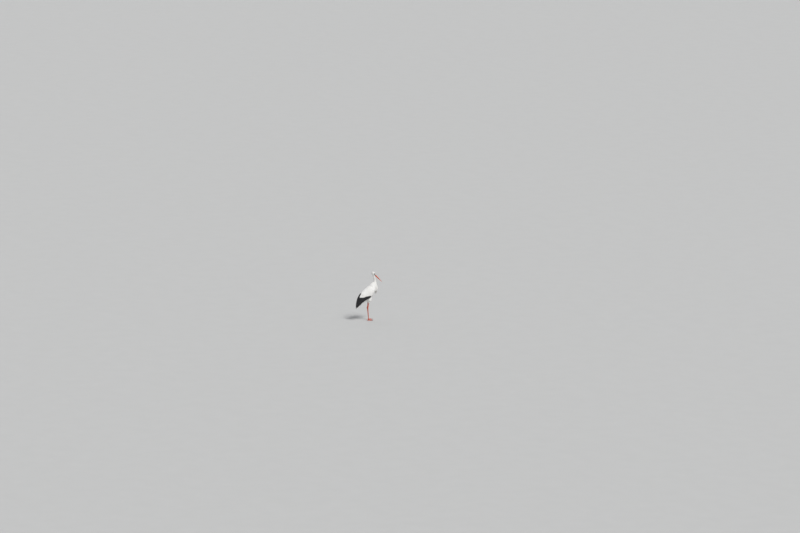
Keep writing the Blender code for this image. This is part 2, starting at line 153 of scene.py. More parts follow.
def apply_modifier(piece, kind, **settings):
    """Adds a modifier as set and applies it."""
    modifier = piece.modifiers.new(kind.lower(), kind)
    for setting, value in settings.items():
        setattr(modifier, setting, value)
    select_only(piece)
    bpy.ops.object.modifier_apply(modifier=modifier.name)
    return piece


def grown(piece, distance):
    return apply_modifier(piece, "DISPLACE", strength=distance, mid_level=0.0)


def smoothed(piece, rounds):
    return apply_modifier(piece, "SMOOTH", factor=0.5, iterations=rounds)


def remeshed(piece, voxel):
    """The piece in even faces, without the walls of sealed hollows: its highest vertex's shell."""
    apply_modifier(piece, "REMESH", mode="VOXEL", voxel_size=voxel)
    heights = coordinates(piece.data)[:, 2]
    return edited(
        piece, (bpy.ops.mesh.select_linked, {}), (bpy.ops.mesh.select_all, {"action": "INVERT"}),
        (bpy.ops.mesh.delete, {"type": "VERT"}),
        chosen=np.arange(len(heights)) == heights.argmax(), mode="VERT",
    )


def joined_copy(names, title):
    """One new object from copies of these nodes, with their loose triangles merged."""
    copies = []
    for name in names:
        copy = NODES[name].copy()
        copy.data = NODES[name].data.copy()
        copy.parent = None
        for key in list(copy.keys()):
            del copy[key]
        bpy.context.scene.collection.objects.link(copy)
        copies.append(copy)
    select_only(*copies)
    if len(copies) > 1:
        bpy.ops.object.join()
    piece = bpy.context.view_layer.objects.active
    piece.name = piece.data.name = title
    edited(piece, (bpy.ops.mesh.remove_doubles, {"threshold": MERGED}), OUTWARDS)
    piece.data.materials.clear()
    return piece


def read(elements, key, width=3):
    """A property of all vertices, edges, faces or corners, as rows of numbers."""
    whole = key in ("vertices", "vertex_index")
    flat = np.empty(len(elements) * width, dtype=np.int64 if whole else float)
    elements.foreach_get(key, flat)
    return flat.reshape(-1, width)


def coordinates(mesh):
    return read(mesh.vertices, "co")


def set_coordinates(mesh, points):
    mesh.vertices.foreach_set("co", np.asarray(points, dtype=np.float32).ravel())
    mesh.update()


def vertex_normals(mesh):
    return read(mesh.vertex_normals, "vector")


def moved_out(piece, distances):
    """Moves a piece's vertices along their normals."""
    mesh = piece.data
    set_coordinates(mesh, coordinates(mesh) + vertex_normals(mesh) * distances[:, None])


def node_points(*names):
    return np.concatenate([coordinates(NODES[name].data) for name in names])


def box_middle(name):
    return np.mean(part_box(name), 0)


def unit(vectors):
    return vectors / np.maximum(np.linalg.norm(vectors, axis=-1, keepdims=True), 1e-12)


def smooth_step(values, low, high):
    share = np.clip((values - low) / (high - low), 0, 1)
    return share * share * (3 - 2 * share)


def placed(piece, material):
    """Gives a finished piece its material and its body."""
    piece.data.materials.clear()
    piece.data.materials.append(material)
    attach(piece, "root")
    return piece


def store(mesh, name, values):
    """A number or a vector on each vertex, for the materials."""
    kind, key = ("FLOAT", "value") if values.ndim == 1 else ("FLOAT_VECTOR", "vector")
    numbers = values.astype(np.float32).ravel()
    mesh.attributes.new(name, kind, "POINT").data.foreach_set(key, numbers)


def ripple(points, size, seed=0.0):
    """A smooth uneven pattern between minus one and one, with bumps about this far apart."""
    turned = points / size * 2.2 + seed
    x, y, z = turned.T
    first = np.sin(x + 1.7 * np.sin(y * 0.9 + 0.4)) * np.cos(z + 1.3 * np.sin(x * 0.8))
    second = np.sin(1.9 * y + 1.1 * np.sin(z * 1.3 + 2.0)) * np.cos(1.6 * x - 0.7 * z)
    return 0.6 * first + 0.4 * second


# ---------------------------------------------------------------- where things are on the bird
def slice_middles(points, direction, count):
    """The middles of these points in slices along a direction."""
    direction = np.array(direction) / np.linalg.norm(direction)
    along = points @ direction
    edges = np.linspace(along.min(), along.max(), count + 1)
    line = []
    for low, high in zip(edges, edges[1:]):
        inside = points[(along >= low - 1e-6) & (along <= high + 1e-6)]
        line.append((inside.min(0) + inside.max(0)) / 2)
    return np.array(line)


def middle_line(names, direction, count):
    return slice_middles(node_points(*names), direction, count)


SIDEWAYS = np.array([1, 0, 0])
DOWN = (0, 0, -1)
BACK_AND_DOWN = (0, 0.66, -0.75)


def bill_frame():
    """Base of the bill, and unit vectors along it, to its left and over it."""
    points = node_points("bill_upper", "bill_lower")
    tip = points[np.linalg.norm(points - box_middle("head"), axis=1).argmax()]
    away = np.linalg.norm(points - tip, axis=1)
    near = points[away > 0.93 * away.max()]
    base = (near.min(0) + near.max(0)) / 2
    ahead = unit(tip - base)
    left = unit(np.cross((0, 0, 1), ahead))
    return base, ahead, left, np.cross(ahead, left)


BILL_BASE, BILL_AHEAD, BILL_LEFT, BILL_OVER = bill_frame()


def eye_centre(side):
    return box_middle(f"eye_{side}") - BILL_LEFT * SIDES[side] * EYE_SUNK


def nearest(tree, points):
    """For each point, the nearest place on a surface, its face and how far off it is."""
    found = (tree.find_nearest(Vector(point)) for point in points)
    rows = np.array([(*place, face, away) for place, _, face, away in found])
    return rows[:, :3], rows[:, 3].astype(int), rows[:, 4]


class Parts:
    """The surface of some nodes of the frame, and which node each of its faces is from."""

    def __init__(self, names):
        meshes = [NODES[name].data for name in names]
        starts = np.cumsum([0] + [len(mesh.vertices) for mesh in meshes])
        faces = [read(mesh.polygons, "vertices") + start for mesh, start in zip(meshes, starts)]
        self.owner = np.repeat(names, [len(rows) for rows in faces])
        faces = np.concatenate(faces).tolist()
        self.tree = BVHTree.FromPolygons(node_points(*names).tolist(), faces)

    def names_at(self, points):
        return self.owner[nearest(self.tree, points)[1]]

    def distances(self, points):
        return nearest(self.tree, points)[2]

    def covers(self, points, normals, reach=0.020):
        """Which points have these nodes over them within reach."""
        rays = (self.tree.ray_cast(Vector(a), Vector(b), reach) for a, b in zip(points, normals))
        return np.array([ray[0] is not None for ray in rays])

    def undersides(self, points):
        """Height of the lowest surface of these nodes over the floor at each point's place."""
        rays = (self.tree.ray_cast(Vector((x, y, 0)), Vector((0, 0, 1)))[0] for x, y, _ in points)
        return np.array([z if hit is None else min(hit.z, z) for hit, z in zip(rays, points[:, 2])])


# ---------------------------------------------------------------- the skin
def plain_part(names):
    """Node names without their side, so that left and right are treated alike."""
    wings = {f"wing_{side}_{part}": part for side in SIDES for part in WING_PARTS}
    return np.array([wings.get(name, name.split("_left")[0].split("_right")[0]) for name in names])


def spread_over(mesh, values, rounds):
    """Values on vertices, evened out along the edges."""
    edges = read(mesh.edges, "vertices", 2)
    count = np.bincount(edges.ravel(), minlength=len(values)) + 1.0
    for _ in range(rounds):
        total = values.copy()
        np.add.at(total, edges[:, 0], values[edges[:, 1]])
        np.add.at(total, edges[:, 1], values[edges[:, 0]])
        values = total / count
    return values


def make_skin(wing):
    """One closed skin for head, neck, breast, trunk, thighs and the fleshy part of the wings."""
    skin = joined_copy(FLESH + WING_FLESH, "skin")
    remeshed(grown(skin, CLOSING), SKIN_VOXEL)
    remeshed(grown(skin, -CLOSING), SKIN_VOXEL)
    smoothed(skin, 10)
    points, normals = coordinates(skin.data), vertex_normals(skin.data)
    parts = plain_part(Parts(FLESH + WING_FLESH).names_at(points))
    depth = np.array([COAT_DEPTH[part] for part in parts])
    black = Parts(BLACK_WING)
    depth = depth + BLACK_EDGE * (1 - smooth_step(black.distances(points), 0.002, 0.020))
    depth = depth + BLACK_EDGE * black.covers(points, normals)
    points = points - normals * spread_over(skin.data, depth, 25)[:, None]
    set_coordinates(skin.data, wing.drawn_in(points, lambda *place: skin_depth(wing, *place)))
    smoothed(skin, 4)
    near = bareness(read(skin.data.polygons, "center")) > 0
    edited(  # finer faces where the skin is bare
        skin, (bpy.ops.mesh.select_more, {}),
        (bpy.ops.mesh.subdivide, {"number_cuts": FACE_CUTS, "smoothness": 0.0}),
        (bpy.ops.mesh.vertices_smooth, {"factor": 0.5, "repeat": 6}), chosen=near,
    )
    points = coordinates(skin.data)
    bare = bareness(points)
    store(skin.data, "bare", bare)
    folds = ripple(points * np.array([1, 1, 1.6]), 0.0022) * 0.00022
    folds = folds + ripple(points, 0.0007, 3.0) * 0.00007
    moved_out(skin, bare * (folds - BARE_DEPTH))
    skin.data.shade_smooth()
    unwrap = {"angle_limit": math.radians(66), "island_margin": 0.002}
    edited(skin, (bpy.ops.uv.smart_project, unwrap))
    skin.data.uv_layers.active.name = "OFBake"
    return skin


def skin_depth(wing, ways, angles):
    """How deep the skin lies at least under the back of the wing's black feathers."""
    under_black = smooth_step(ways - wing.end(wing.white_end, angles), -0.085, -0.025)
    return UNDER_BLACK * under_black * (1 - smooth_step(np.degrees(angles), 100, 122))


class Hide:
    """A triangulated copy of a surface in numbers, for setting feathers on it."""

    def __init__(self, piece):
        mesh = piece.data.copy()
        shaped = bmesh.new()
        shaped.from_mesh(mesh)
        bmesh.ops.triangulate(shaped, faces=shaped.faces)
        shaped.to_mesh(mesh)
        shaped.free()
        points, self.normals = coordinates(mesh), vertex_normals(mesh)
        self.corners = read(mesh.polygons, "vertices")
        self.unwrap = read(mesh.uv_layers["OFBake"].data, "uv", 2).reshape(-1, 3, 2)
        self.tree = BVHTree.FromPolygons(points.tolist(), self.corners.tolist())
        bpy.data.meshes.remove(mesh)
        self.triangles = points[self.corners]
        a, b, c = (self.triangles[:, i] for i in range(3))
        self.areas = np.linalg.norm(np.cross(b - a, c - a), axis=1) / 2
        self.middles = self.triangles.mean(1)
        self.part = plain_part(Parts(FLESH + WING_FLESH + BLACK_WING).names_at(self.middles))
        ups = unit(self.normals[self.corners].mean(1))
        self.open = ~Parts(BLACK_WING).covers(self.middles, ups)

    def shares(self, points, faces):
        """How near each point is to the three corners of its face, adding up to one."""
        a, b, c = (self.triangles[faces, i] for i in range(3))
        first, second, third = b - a, c - a, points - a
        d00, d01, d11 = (first * first).sum(1), (first * second).sum(1), (second * second).sum(1)
        d20, d21 = (third * first).sum(1), (third * second).sum(1)
        scale = np.maximum(d00 * d11 - d01 * d01, 1e-18)
        v, w = (d11 * d20 - d01 * d21) / scale, (d00 * d21 - d01 * d20) / scale
        return np.clip(np.stack([1 - v - w, v, w], 1), 0, 1)

    def land(self, points):
        """The nearest place on the surface for each point, its normal and its face."""
        places, faces, _ = nearest(self.tree, points)
        shares = self.shares(places, faces)
        normals = unit((self.normals[self.corners[faces]] * shares[:, :, None]).sum(1))
        return places, normals, faces

    def unwrapped(self, places, faces):
        return (self.unwrap[faces] * self.shares(places, faces)[:, :, None]).sum(1)

    def random_places(self, count, wanted):
        """Places spread evenly over the wanted faces."""
        areas = self.areas * wanted
        faces = RANDOM.choice(len(areas), size=count, p=areas / areas.sum())
        u, v = RANDOM.random(count), RANDOM.random(count)
        flip = u + v > 1
        u[flip], v[flip] = 1 - u[flip], 1 - v[flip]
        a, b, c = (self.triangles[faces, i] for i in range(3))
        return a + (b - a) * u[:, None] + (c - a) * v[:, None]


def thinned(points, spacing):
    """The points that keep at least their spacing from those kept before them."""
    cell, steps = spacing.max(), (-1, 0, 1)
    kept, cells = [], {}
    for i, (x, y, z) in enumerate(np.floor(points / cell).astype(int).tolist()):
        around = [(x + a, y + b, z + c) for a in steps for b in steps for c in steps]
        near = [j for place in around for j in cells.get(place, ())]
        if not near or ((points[near] - points[i]) ** 2).sum(1).min() >= spacing[i] ** 2:
            kept.append(i)
            cells.setdefault((x, y, z), []).append(i)
    return np.array(kept)


# ---------------------------------------------------------------- the lie of the coat
def on_line(line, shares, axes=range(3)):
    """Points on a broken line; the shares count its own points from nought."""
    return np.stack([np.interp(shares, range(len(line)), line[:, i]) for i in axes], -1)


def line_with_directions(line, count=12):
    """Points along a broken line and the unit vectors along it there."""
    points = on_line(line, np.linspace(0, len(line) - 1, count))
    return points, unit(np.gradient(points, axis=0))


def lie_lines():
    """Lines that the feathers follow, from the bill to the tail, and down breast and legs."""
    head_high, crown = np.array(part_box("head")[1]), box_middle("head")
    crown[2] = head_high[2] - 0.030
    nape = np.array([0, head_high[1] - 0.016, crown[2] - 0.012])
    chin = BILL_BASE - BILL_OVER * 0.014
    neck = middle_line(["neck_upper"], DOWN, 3)
    lower = middle_line(["neck_lower"], DOWN, 2)
    trunk = middle_line(["trunk"], BACK_AND_DOWN, 6)
    lines = [
        np.array([BILL_BASE, (BILL_BASE + crown) / 2, crown, nape, neck[1]]),
        np.array([chin, (chin + neck[0]) / 2, neck[0], neck[1]]),
        np.concatenate([neck[1:], lower, trunk[1:]]),
        middle_line(["breast_plumes"], DOWN, 6),
    ]
    for side in SIDES:
        lines.append(middle_line([f"thigh_{side}", f"shin_{side}"], DOWN, 5)[:4])
        lines.append(middle_line([f"wing_{side}_{part}" for part in WING_PARTS], BACK_AND_DOWN, 7))
    return lines


class Lie:
    """Which way feathers point at each place."""

    def __init__(self):
        found = [line_with_directions(line) for line in lie_lines()]
        self.points = np.concatenate([item[0] for item in found])
        self.directions = np.concatenate([item[1] for item in found])

    def at(self, places, normals):
        gaps = places[:, None, :] - self.points[None, :, :]
        weights = 1 / ((gaps * gaps).sum(2) + 1e-5) ** 2.5
        ways = (weights[:, :, None] * self.directions[None]).sum(1)
        ways -= (ways * normals).sum(1)[:, None] * normals
        return unit(ways)


# ---------------------------------------------------------------- feathers
def rounded_end(share, start, length, power, root=0.5):
    """One up to where the tip's curve starts, and nought at its end."""
    return np.maximum(1 - ((share - start) / length).clip(0) ** power, 0) ** root


def rounded_outline(share):
    """Half width along a body feather, root to tip, as a share of the widest."""
    return np.where(share < 0.5, 0.34 + 1.32 * share, rounded_end(share, 0.5, 0.503, 2.2))


def pointed_outline(share):
    """Half width along a plume, root to tip."""
    return (0.35 + 0.65 * np.sin(np.pi * np.minimum(share * 1.25, 0.5))) * (1 - share**2.2) + 0.03


def blade_outline(share):
    """Half width along a flight feather, root to tip."""
    return np.minimum(1, 0.45 + 2.2 * share) * rounded_end(share, 0.80, 0.202, 2.2)


def quill_outline(share):
    """Half width along a wing tip's feather, root to tip."""
    return np.minimum(1, 0.5 + 2.0 * share) * rounded_end(share, 0.55, 0.46, 1.8, 0.8)


PLAIN_SPREAD = {3: (-1, 0, 1), 5: (-1, -0.5, 0, 0.5, 1)}
SHAFTED_SPREAD = (-1, -0.68, -0.34, -0.055, 0, 0.055, 0.34, 0.68, 1)


def stations_along(count):
    """Places along a feather from root to tip, closer together near the tip."""
    return 1 - (1 - np.linspace(0, 1, count)) ** 1.4


class Feathers:
    """Gathers feathers as arrays, and makes one closed mesh of them."""

    def __init__(self, title, stations, spread, shaft=0.0):
        self.title, self.spread, self.shaft = title, spread, shaft
        self.shares = stations_along(stations)
        self.rings, self.places, self.tints = [], [], []

    def add(self, centres, normals, ways, halves, thickness, roots, form, hand=1):
        """Feathers along centres[feather, station]; form is their ridge, bend and roll."""
        ridge, bend, roll = form
        across = unit(np.cross(normals, ways))
        top, under = [], []
        for share in self.spread:
            out = halves[..., 0 if share * hand < 0 else 1] * share
            body = 1 - share * share
            height = ridge * body - out * out * bend - out * hand * roll
            quill = self.shaft * (share == 0)
            base = centres + across * out[..., None]
            thick = thickness / 2 * (0.15 + 0.85 * body)
            top.append(base + normals * (height + quill + thick)[..., None])
            if abs(share) < 1:
                under.append(base + normals * (height - thickness / 2)[..., None])
        self.rings.append(np.stack(top + under[::-1], 2))
        self.places.append(roots)
        self.tints.append(RANDOM.random(len(centres)))

    def finished(self, material, slot):
        rings = np.concatenate(self.rings)
        count, stations, around = rings.shape[:3]
        each = stations * around
        turn, rows = np.arange(around), np.arange(stations - 1)[:, None] * around
        near, far = rows + turn, rows + (turn + 1) % around
        starts = (np.arange(count) * each)[:, None, None]
        quads = np.stack([near, near + around, far + around, far], -1).reshape(1, -1, 4) + starts
        ends = np.stack([turn, each - 1 - turn])[None] + starts
        faces = quads.reshape(-1, 4).tolist() + ends.reshape(-1, around).tolist()
        mesh = bpy.data.meshes.new(self.title)
        mesh.from_pydata(rings.reshape(-1, 3), [], faces)
        mesh.validate()
        across = (np.array(self.spread) + 1) / 2
        across = np.concatenate([across, across[1:-1][::-1]])
        own = np.stack(np.meshgrid(self.shares, across, indexing="ij")[::-1], -1)
        own = np.broadcast_to(own[None], (count, stations, around, 2)).reshape(-1, 2)
        patch = np.repeat(np.concatenate(self.places), each, axis=0) + (own - 0.5) * PATCH
        loops = read(mesh.loops, "vertex_index", 1)[:, 0]
        for name, places in (("vane", own), ("OFBake", patch)):
            numbers = places[loops].astype(np.float32).ravel()
            mesh.uv_layers.new(name=name).data.foreach_set("uv", numbers)
        store(mesh, "tint", np.repeat(np.concatenate(self.tints), each))
        mesh.shade_smooth()
        mesh.set_sharp_from_angle(angle=math.radians(60))
        piece = bpy.data.objects.new(self.title, mesh)
        bpy.context.scene.collection.objects.link(piece)
        return placed(piece, material)


def ragged_halves(outline, shares, widths, amount, webs=(1.0, 1.0)):
    """Half widths to the left and right of each shaft, with a worn edge past the middle."""
    half = outline(shares)[None, :, None] * (widths / 2)[:, None, None] * np.array(webs)
    worn = RANDOM.random((len(widths), len(shares), 2)) * (shares > 0.4)[None, :, None]
    return half * (1 - amount * worn)


# ---------------------------------------------------------------- the folded wings
class FoldedWing:
    """The outside of a folded wing, found by the way along it and the angle round its axis.

    The way is nought at the shoulder and one at the tip. The angle is nought at the back's ridge,
    a right angle at the side and two right angles under the belly. It is worked out for the left
    wing and mirrored for the right one.
    """

    def __init__(self, way_count=49, turn_count=46):
        names = [f"wing_left_{part}" for part in WING_PARTS]
        line = middle_line(names, BACK_AND_DOWN, 9)
        line[:, 0] = 0
        line[0], line[-1] = line[0] * 1.5 - line[1] * 0.5, line[-1] * 1.5 - line[-2] * 0.5
        self.line = line
        self.length = np.linalg.norm(line[-1] - line[0])
        self.axis = along = unit(line[-1] - line[0])
        self.over = np.array([0, -along[2], along[1]])
        self.ways = np.linspace(0, 1, way_count)
        self.angles = np.radians(np.linspace(3, 180, turn_count))
        shell = Parts(names)
        found = np.full((way_count, turn_count), np.nan)
        for i, j in np.ndindex(found.shape):
            middle, out = self.middle(self.ways[i]), self.outwards(self.angles[j])
            hit = shell.tree.ray_cast(Vector(middle + out * FAR), Vector(-out), FAR)
            if hit[0] is not None:
                found[i, j] = FAR - hit[3]
        known = ~np.isnan(found)
        self.reach = self.filled(found)
        turns, ways = np.meshgrid(self.angles, self.ways)
        owner = plain_part(shell.names_at(self.places(ways, turns).reshape(-1, 3)))
        owner = owner.reshape(found.shape)
        self.white_end = self.last(known & np.isin(owner, WING_PARTS[:2]))
        self.secondary_end = self.last(known & (owner == "secondaries"))

    def middle(self, ways):
        return on_line(self.line, ways * (len(self.line) - 1))

    def outwards(self, angles):
        return np.cos(angles)[..., None] * self.over + np.sin(angles)[..., None] * SIDEWAYS

    @staticmethod
    def filled(found):
        """Fills what no ray hit from its neighbours, and evens out the facets."""
        for rows in (found, found.T):
            for row in rows:
                good = np.flatnonzero(~np.isnan(row))
                if len(good):
                    row[:] = np.interp(range(len(row)), good, row[good])
        for _ in range(3):
            wide = np.pad(found, 1, mode="edge")
            near = wide[:-2, 1:-1] + wide[2:, 1:-1] + wide[1:-1, :-2] + wide[1:-1, 2:]
            found = (near + 2 * found) / 6
        return found

    def last(self, mask):
        """The furthest way at which the mask holds, by angle."""
        good = np.flatnonzero(mask.any(0))
        ends = np.array([self.ways[np.flatnonzero(mask[:, j]).max()] for j in good])
        ends = np.interp(self.angles, self.angles[good], ends)
        return np.convolve(np.pad(ends, 2, mode="edge"), np.ones(5) / 5, mode="valid")

    def radii(self, ways, angles):
        """How far the wing's outside lies from its axis."""
        x = np.clip(ways, 0, 1) * (len(self.ways) - 1)
        y = (angles - self.angles[0]) / (self.angles[1] - self.angles[0])
        y = np.clip(y, 0, len(self.angles) - 1)
        i = np.minimum(x.astype(int), len(self.ways) - 2)
        j = np.minimum(y.astype(int), len(self.angles) - 2)
        p, q, reach = x - i, y - j, self.reach
        radius = (reach[i, j] * (1 - p) + reach[i + 1, j] * p) * (1 - q)
        return radius + (reach[i, j + 1] * (1 - p) + reach[i + 1, j + 1] * p) * q

    def places(self, ways, angles):
        """Points on the left wing's outside."""
        return self.middle(ways) + self.outwards(angles) * self.radii(ways, angles)[..., None]

    def normals(self, ways, angles):
        along = self.places(ways + 0.02, angles) - self.places(ways - 0.02, angles)
        around = self.places(ways, angles + 0.05) - self.places(ways, angles - 0.05)
        return unit(np.cross(around, along))

    def end(self, ends, angles):
        return np.interp(angles, self.angles, ends)

    def buried(self, ways, angles):
        """How deep the black feathers lie under the white ones."""
        return BURIED * (1 - smooth_step(ways - self.end(self.white_end, angles), -0.030, 0.024))

    def drawn_in(self, points, sinking):
        """Points of either side, moved in to lie as deep as sinking(ways, angles) asks for."""
        ways = (points - self.line[0]) @ self.axis / self.length
        out = points - self.middle(ways)
        out = out - (out @ self.axis)[:, None] * self.axis
        angles = np.arctan2(np.abs(out[:, 0]), out @ self.over)
        depth = sinking(ways, angles)
        allowed = np.maximum(self.radii(ways, angles) - depth, 0)
        allowed = allowed / np.maximum(np.linalg.norm(out, axis=1), 0.001)
        return points - out * np.where(depth > 0, np.maximum(1 - allowed, 0), 0)[:, None]

    def lay(self, made, hide, roots, tips, halves, lifts, thickness, form, under_white=True):
        """Feathers from root (way, angle) to tip on both wings, lifted over the wing's outside."""
        ways, angles = (
            root[:, None] * (1 - made.shares) + tip[:, None] * made.shares
            for root, tip in zip(roots, tips)
        )
        normals = self.normals(ways, angles)
        if under_white:
            lifts = lifts - self.buried(ways, angles)
        centres = self.places(ways, angles) + normals * lifts[..., None]
        along = unit(np.gradient(centres, axis=1))
        for hand in SIDES.values():
            lines = [rows * np.array([hand, 1, 1]) for rows in (centres, normals, along)]
            landed, _, faces = hide.land(lines[0][:, 0])
            made.add(*lines, halves, thickness, hide.unwrapped(landed, faces), form, hand)


# The black feathers of one wing, from the lowest row to the highest: stations, outline, wear
# and webs; then thickness and height of the shaft; then ridge, bend and roll.
BLACK_ROWS = {
    "primaries": ((18, quill_outline, 0.05, (0.8, 1.0)), (0.0005, 0.0004), (0.0006, 9.0, 0.05)),
    "secondaries": ((16, blade_outline, 0.06, (0.75, 1.0)), (0.0005, 0.0004), (0.0008, 6.0, 0.07)),
    "tertials": ((16, blade_outline, 0.08, (0.85, 1.0)), (0.0005, 0.0004), (0.0006, 6.5, 0.04)),
    "greater_coverts": (
        (12, blade_outline, 0.07, (0.85, 1.0)), (0.0004, 0.0003), (0.0008, 6.0, 0.07),
    ),
}


def black_places(wing, row):
    """Roots, tips (each as ways and angles), widths and lifts of the feathers of a row."""
    if row == "primaries":  # the first one is the longest and lies lowest
        rank = np.linspace(0, 1, 10)
        roots = (0.40 + 0.10 * rank, np.radians(132 - 40 * rank))
        ends = 1.0 - 0.05 * rank - 0.010 * np.sin(9 * rank) ** 2
        tips = (ends, np.radians(104 - 88 * rank))
        return roots, tips, 0.034 - 0.002 * rank, -0.0052 + 0.0012 * rank
    count, first, turn = {
        "secondaries": (17, 129, -103), "tertials": (7, 72, -69), "greater_coverts": (19, 132, -82),
    }[row]
    rank = np.linspace(0, 1, count)
    angles = np.radians(first + turn * rank)
    white_end, black_end = wing.end(wing.white_end, angles), wing.end(wing.secondary_end, angles)
    if row == "secondaries":
        ends = black_end + RANDOM.uniform(0, 0.012, count)
        roots = (np.minimum(ends - 0.33, white_end - 0.08), angles)
        return roots, (ends, angles - np.radians(4)), 0.031 + 0.004 * rank, -0.0040 + 0.0010 * rank
    if row == "tertials":
        ends = black_end - 0.045 + 0.030 * np.sin(np.pi * rank)
        roots = (np.minimum(ends - 0.38, white_end - 0.10), angles + np.radians(4))
        return roots, (ends, angles), np.full(count, 0.040), -0.0026 + 0.0008 * rank
    ends = white_end + 0.115 + RANDOM.uniform(-0.006, 0.006, count)
    tips = (ends, angles - np.radians(2))
    return (white_end - 0.06, angles), tips, 0.024 + 0.003 * rank, -0.0022 + 0.0004 * rank


def lay_black_wing(wing, hide, material):
    """Primaries, secondaries, tertials and greater coverts."""
    for row, (plan, (thickness, shaft), form) in BLACK_ROWS.items():
        stations, outline, worn, webs = plan
        made = Feathers(row, stations, SHAFTED_SPREAD, shaft)
        roots, tips, widths, lifts = black_places(wing, row)
        halves = ragged_halves(outline, made.shares, widths, worn, webs)
        wing.lay(made, hide, roots, tips, halves, lifts[:, None], thickness, form)
        made.finished(material, "black_plumage")


def lay_white_wing(wing, hide, material):
    """Small white feathers from the shoulder to the black ones, growing longer and broader."""
    made = Feathers("wing_white", 10, PLAIN_SPREAD[5])
    ways = RANDOM.uniform(0.01, 0.66, WHITE_TRIALS)
    angles = np.radians(RANDOM.uniform(-4, 143, WHITE_TRIALS))
    lower = smooth_step(np.degrees(angles), 70, 110)
    sizes = (0.42 + 0.58 * smooth_step(ways, 0.0, 0.45)) * (1 - 0.22 * lower)
    lengths = 0.062 * sizes * RANDOM.uniform(0.90, 1.10, WHITE_TRIALS)
    reach = np.linalg.norm(wing.places(ways, angles) - wing.middle(ways), axis=1)
    beside = 0.012 * sizes / reach
    ends = np.min([wing.end(wing.white_end, angles + turn) for turn in (-beside, 0, beside)], 0)
    inside = ways + lengths / wing.length < ends + RANDOM.uniform(-0.006, 0.014, WHITE_TRIALS)
    found = np.stack([ways, angles, sizes, lengths, reach])[:, inside]
    found = found[:, thinned(wing.places(*found[:2]), found[2] * 0.0117)]
    ways, angles, sizes, lengths, reach = found
    swing = RANDOM.normal(0, 0.06, len(ways))
    tips = (ways + lengths / wing.length, angles + swing * lengths / reach)
    halves = ragged_halves(rounded_outline, made.shares, 0.029 * sizes, 0.08)
    rise = (0.0026 * sizes * RANDOM.uniform(0.85, 1.15, len(ways)))[:, None]
    lifts = -0.0034 + rise * (0.25 + 0.75 * made.shares[None] ** 1.2)
    along = ways[:, None] + made.shares * (tips[0] - ways)[:, None]
    lifts = lifts - 0.006 * (1 - smooth_step(along, 0.03, 0.15))
    form = (0.0003, 6.0, 0.0)
    wing.lay(made, hide, (ways, angles), tips, halves, lifts, 0.00035, form, under_white=False)
    made.finished(material, "white_plumage")


def make_linings(wing, material):
    """The closed underlayer of each wing's black feathers."""
    for side in SIDES:
        names = [f"wing_{side}_{part}" for part in WING_PARTS[2:]]
        lining = grown(joined_copy(names, f"wing_lining_{side}"), -LINING_DEPTH)
        points = coordinates(lining.data)
        share = (points - wing.line[0]) @ wing.axis / wing.length
        back = np.maximum(share - LINING_END, 0)[:, None]
        inner = wing.middle(share) * np.array([0, 1, 1]) + points * np.array([0.6, 0, 0])
        points = points + (inner - points) * np.minimum(back * 8, 0.85)
        points = points - wing.axis * back * wing.length * 0.9
        points = wing.drawn_in(points, lambda *place: LINING_SUNK + 1.2 * wing.buried(*place))
        set_coordinates(lining.data, points)
        lining.data.shade_smooth()
        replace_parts(placed(lining, material), *names)


class Tail:
    """Where feathers lie on the tail: its start, the way along and over it, and its size."""

    def __init__(self, hide):
        points, line = node_points("tail"), middle_line(["tail"], BACK_AND_DOWN, 5)
        self.hide = hide
        self.along = unit(line[-1] - line[0])
        over = np.cross((1, 0, 0), self.along)
        self.over = over * np.sign(over[2])
        self.start = line[0] - self.along * 0.030
        self.length = ((points - self.start) @ self.along).max() - 0.002
        self.height = ((points - self.start) @ self.over).max()
        self.wide = np.abs(points[:, 0]).max() - 0.012

    def lay(self, made, rank, reach, beside, out, width, worn, thickness, ridge, upper=1):
        """A row of feathers; reach, beside and out are [feather, station], upper is -1 below."""
        centres = self.start + self.along * reach[..., None] + self.over * upper * out[..., None]
        centres = centres + SIDEWAYS * beside[..., None]
        ways = unit(np.gradient(centres, axis=1))
        turned = SIDEWAYS * 0.35 * (rank[:, None] * np.ones_like(made.shares))[..., None]
        normals = turned + self.over * upper
        normals = unit(normals - (normals * ways).sum(2)[..., None] * ways)
        halves = ragged_halves(rounded_outline, made.shares, np.full(len(rank), width), worn)
        landed, _, faces = self.hide.land(centres[:, 0])
        roots = self.hide.unwrapped(landed, faces)
        made.add(centres, normals, ways, halves, thickness, roots, (ridge, 5.0, 0.0))


def lay_tail_coverts(tail, material):
    """Rows of white feathers over and under the tail's root, the shortest outermost."""
    made = Feathers("tail_coverts", 10, PLAIN_SPREAD[5])
    shares = made.shares
    for upper, top in ((1, tail.height * 0.75 + 0.001), (-1, 0.0085)):
        for row in range(4):
            rank = np.linspace(-1, 1, 9 - row)
            reach = tail.length * (0.84 - 0.13 * row - 0.08 * rank**2)
            reach = (reach * RANDOM.uniform(0.96, 1.04, len(rank)))[:, None] * shares
            beside = rank[:, None] * (0.45 + 0.35 * shares) * tail.wide * (0.9 - 0.06 * row)
            out = top + 0.0016 * row + 0.004 * np.sin(np.pi * shares)
            out = out - 0.004 * upper * rank[:, None] ** 2 * shares
            tail.lay(made, rank, reach, beside, out, 0.026, 0.1, 0.0004, 0.0006, upper)
    made.finished(material, "white_plumage")


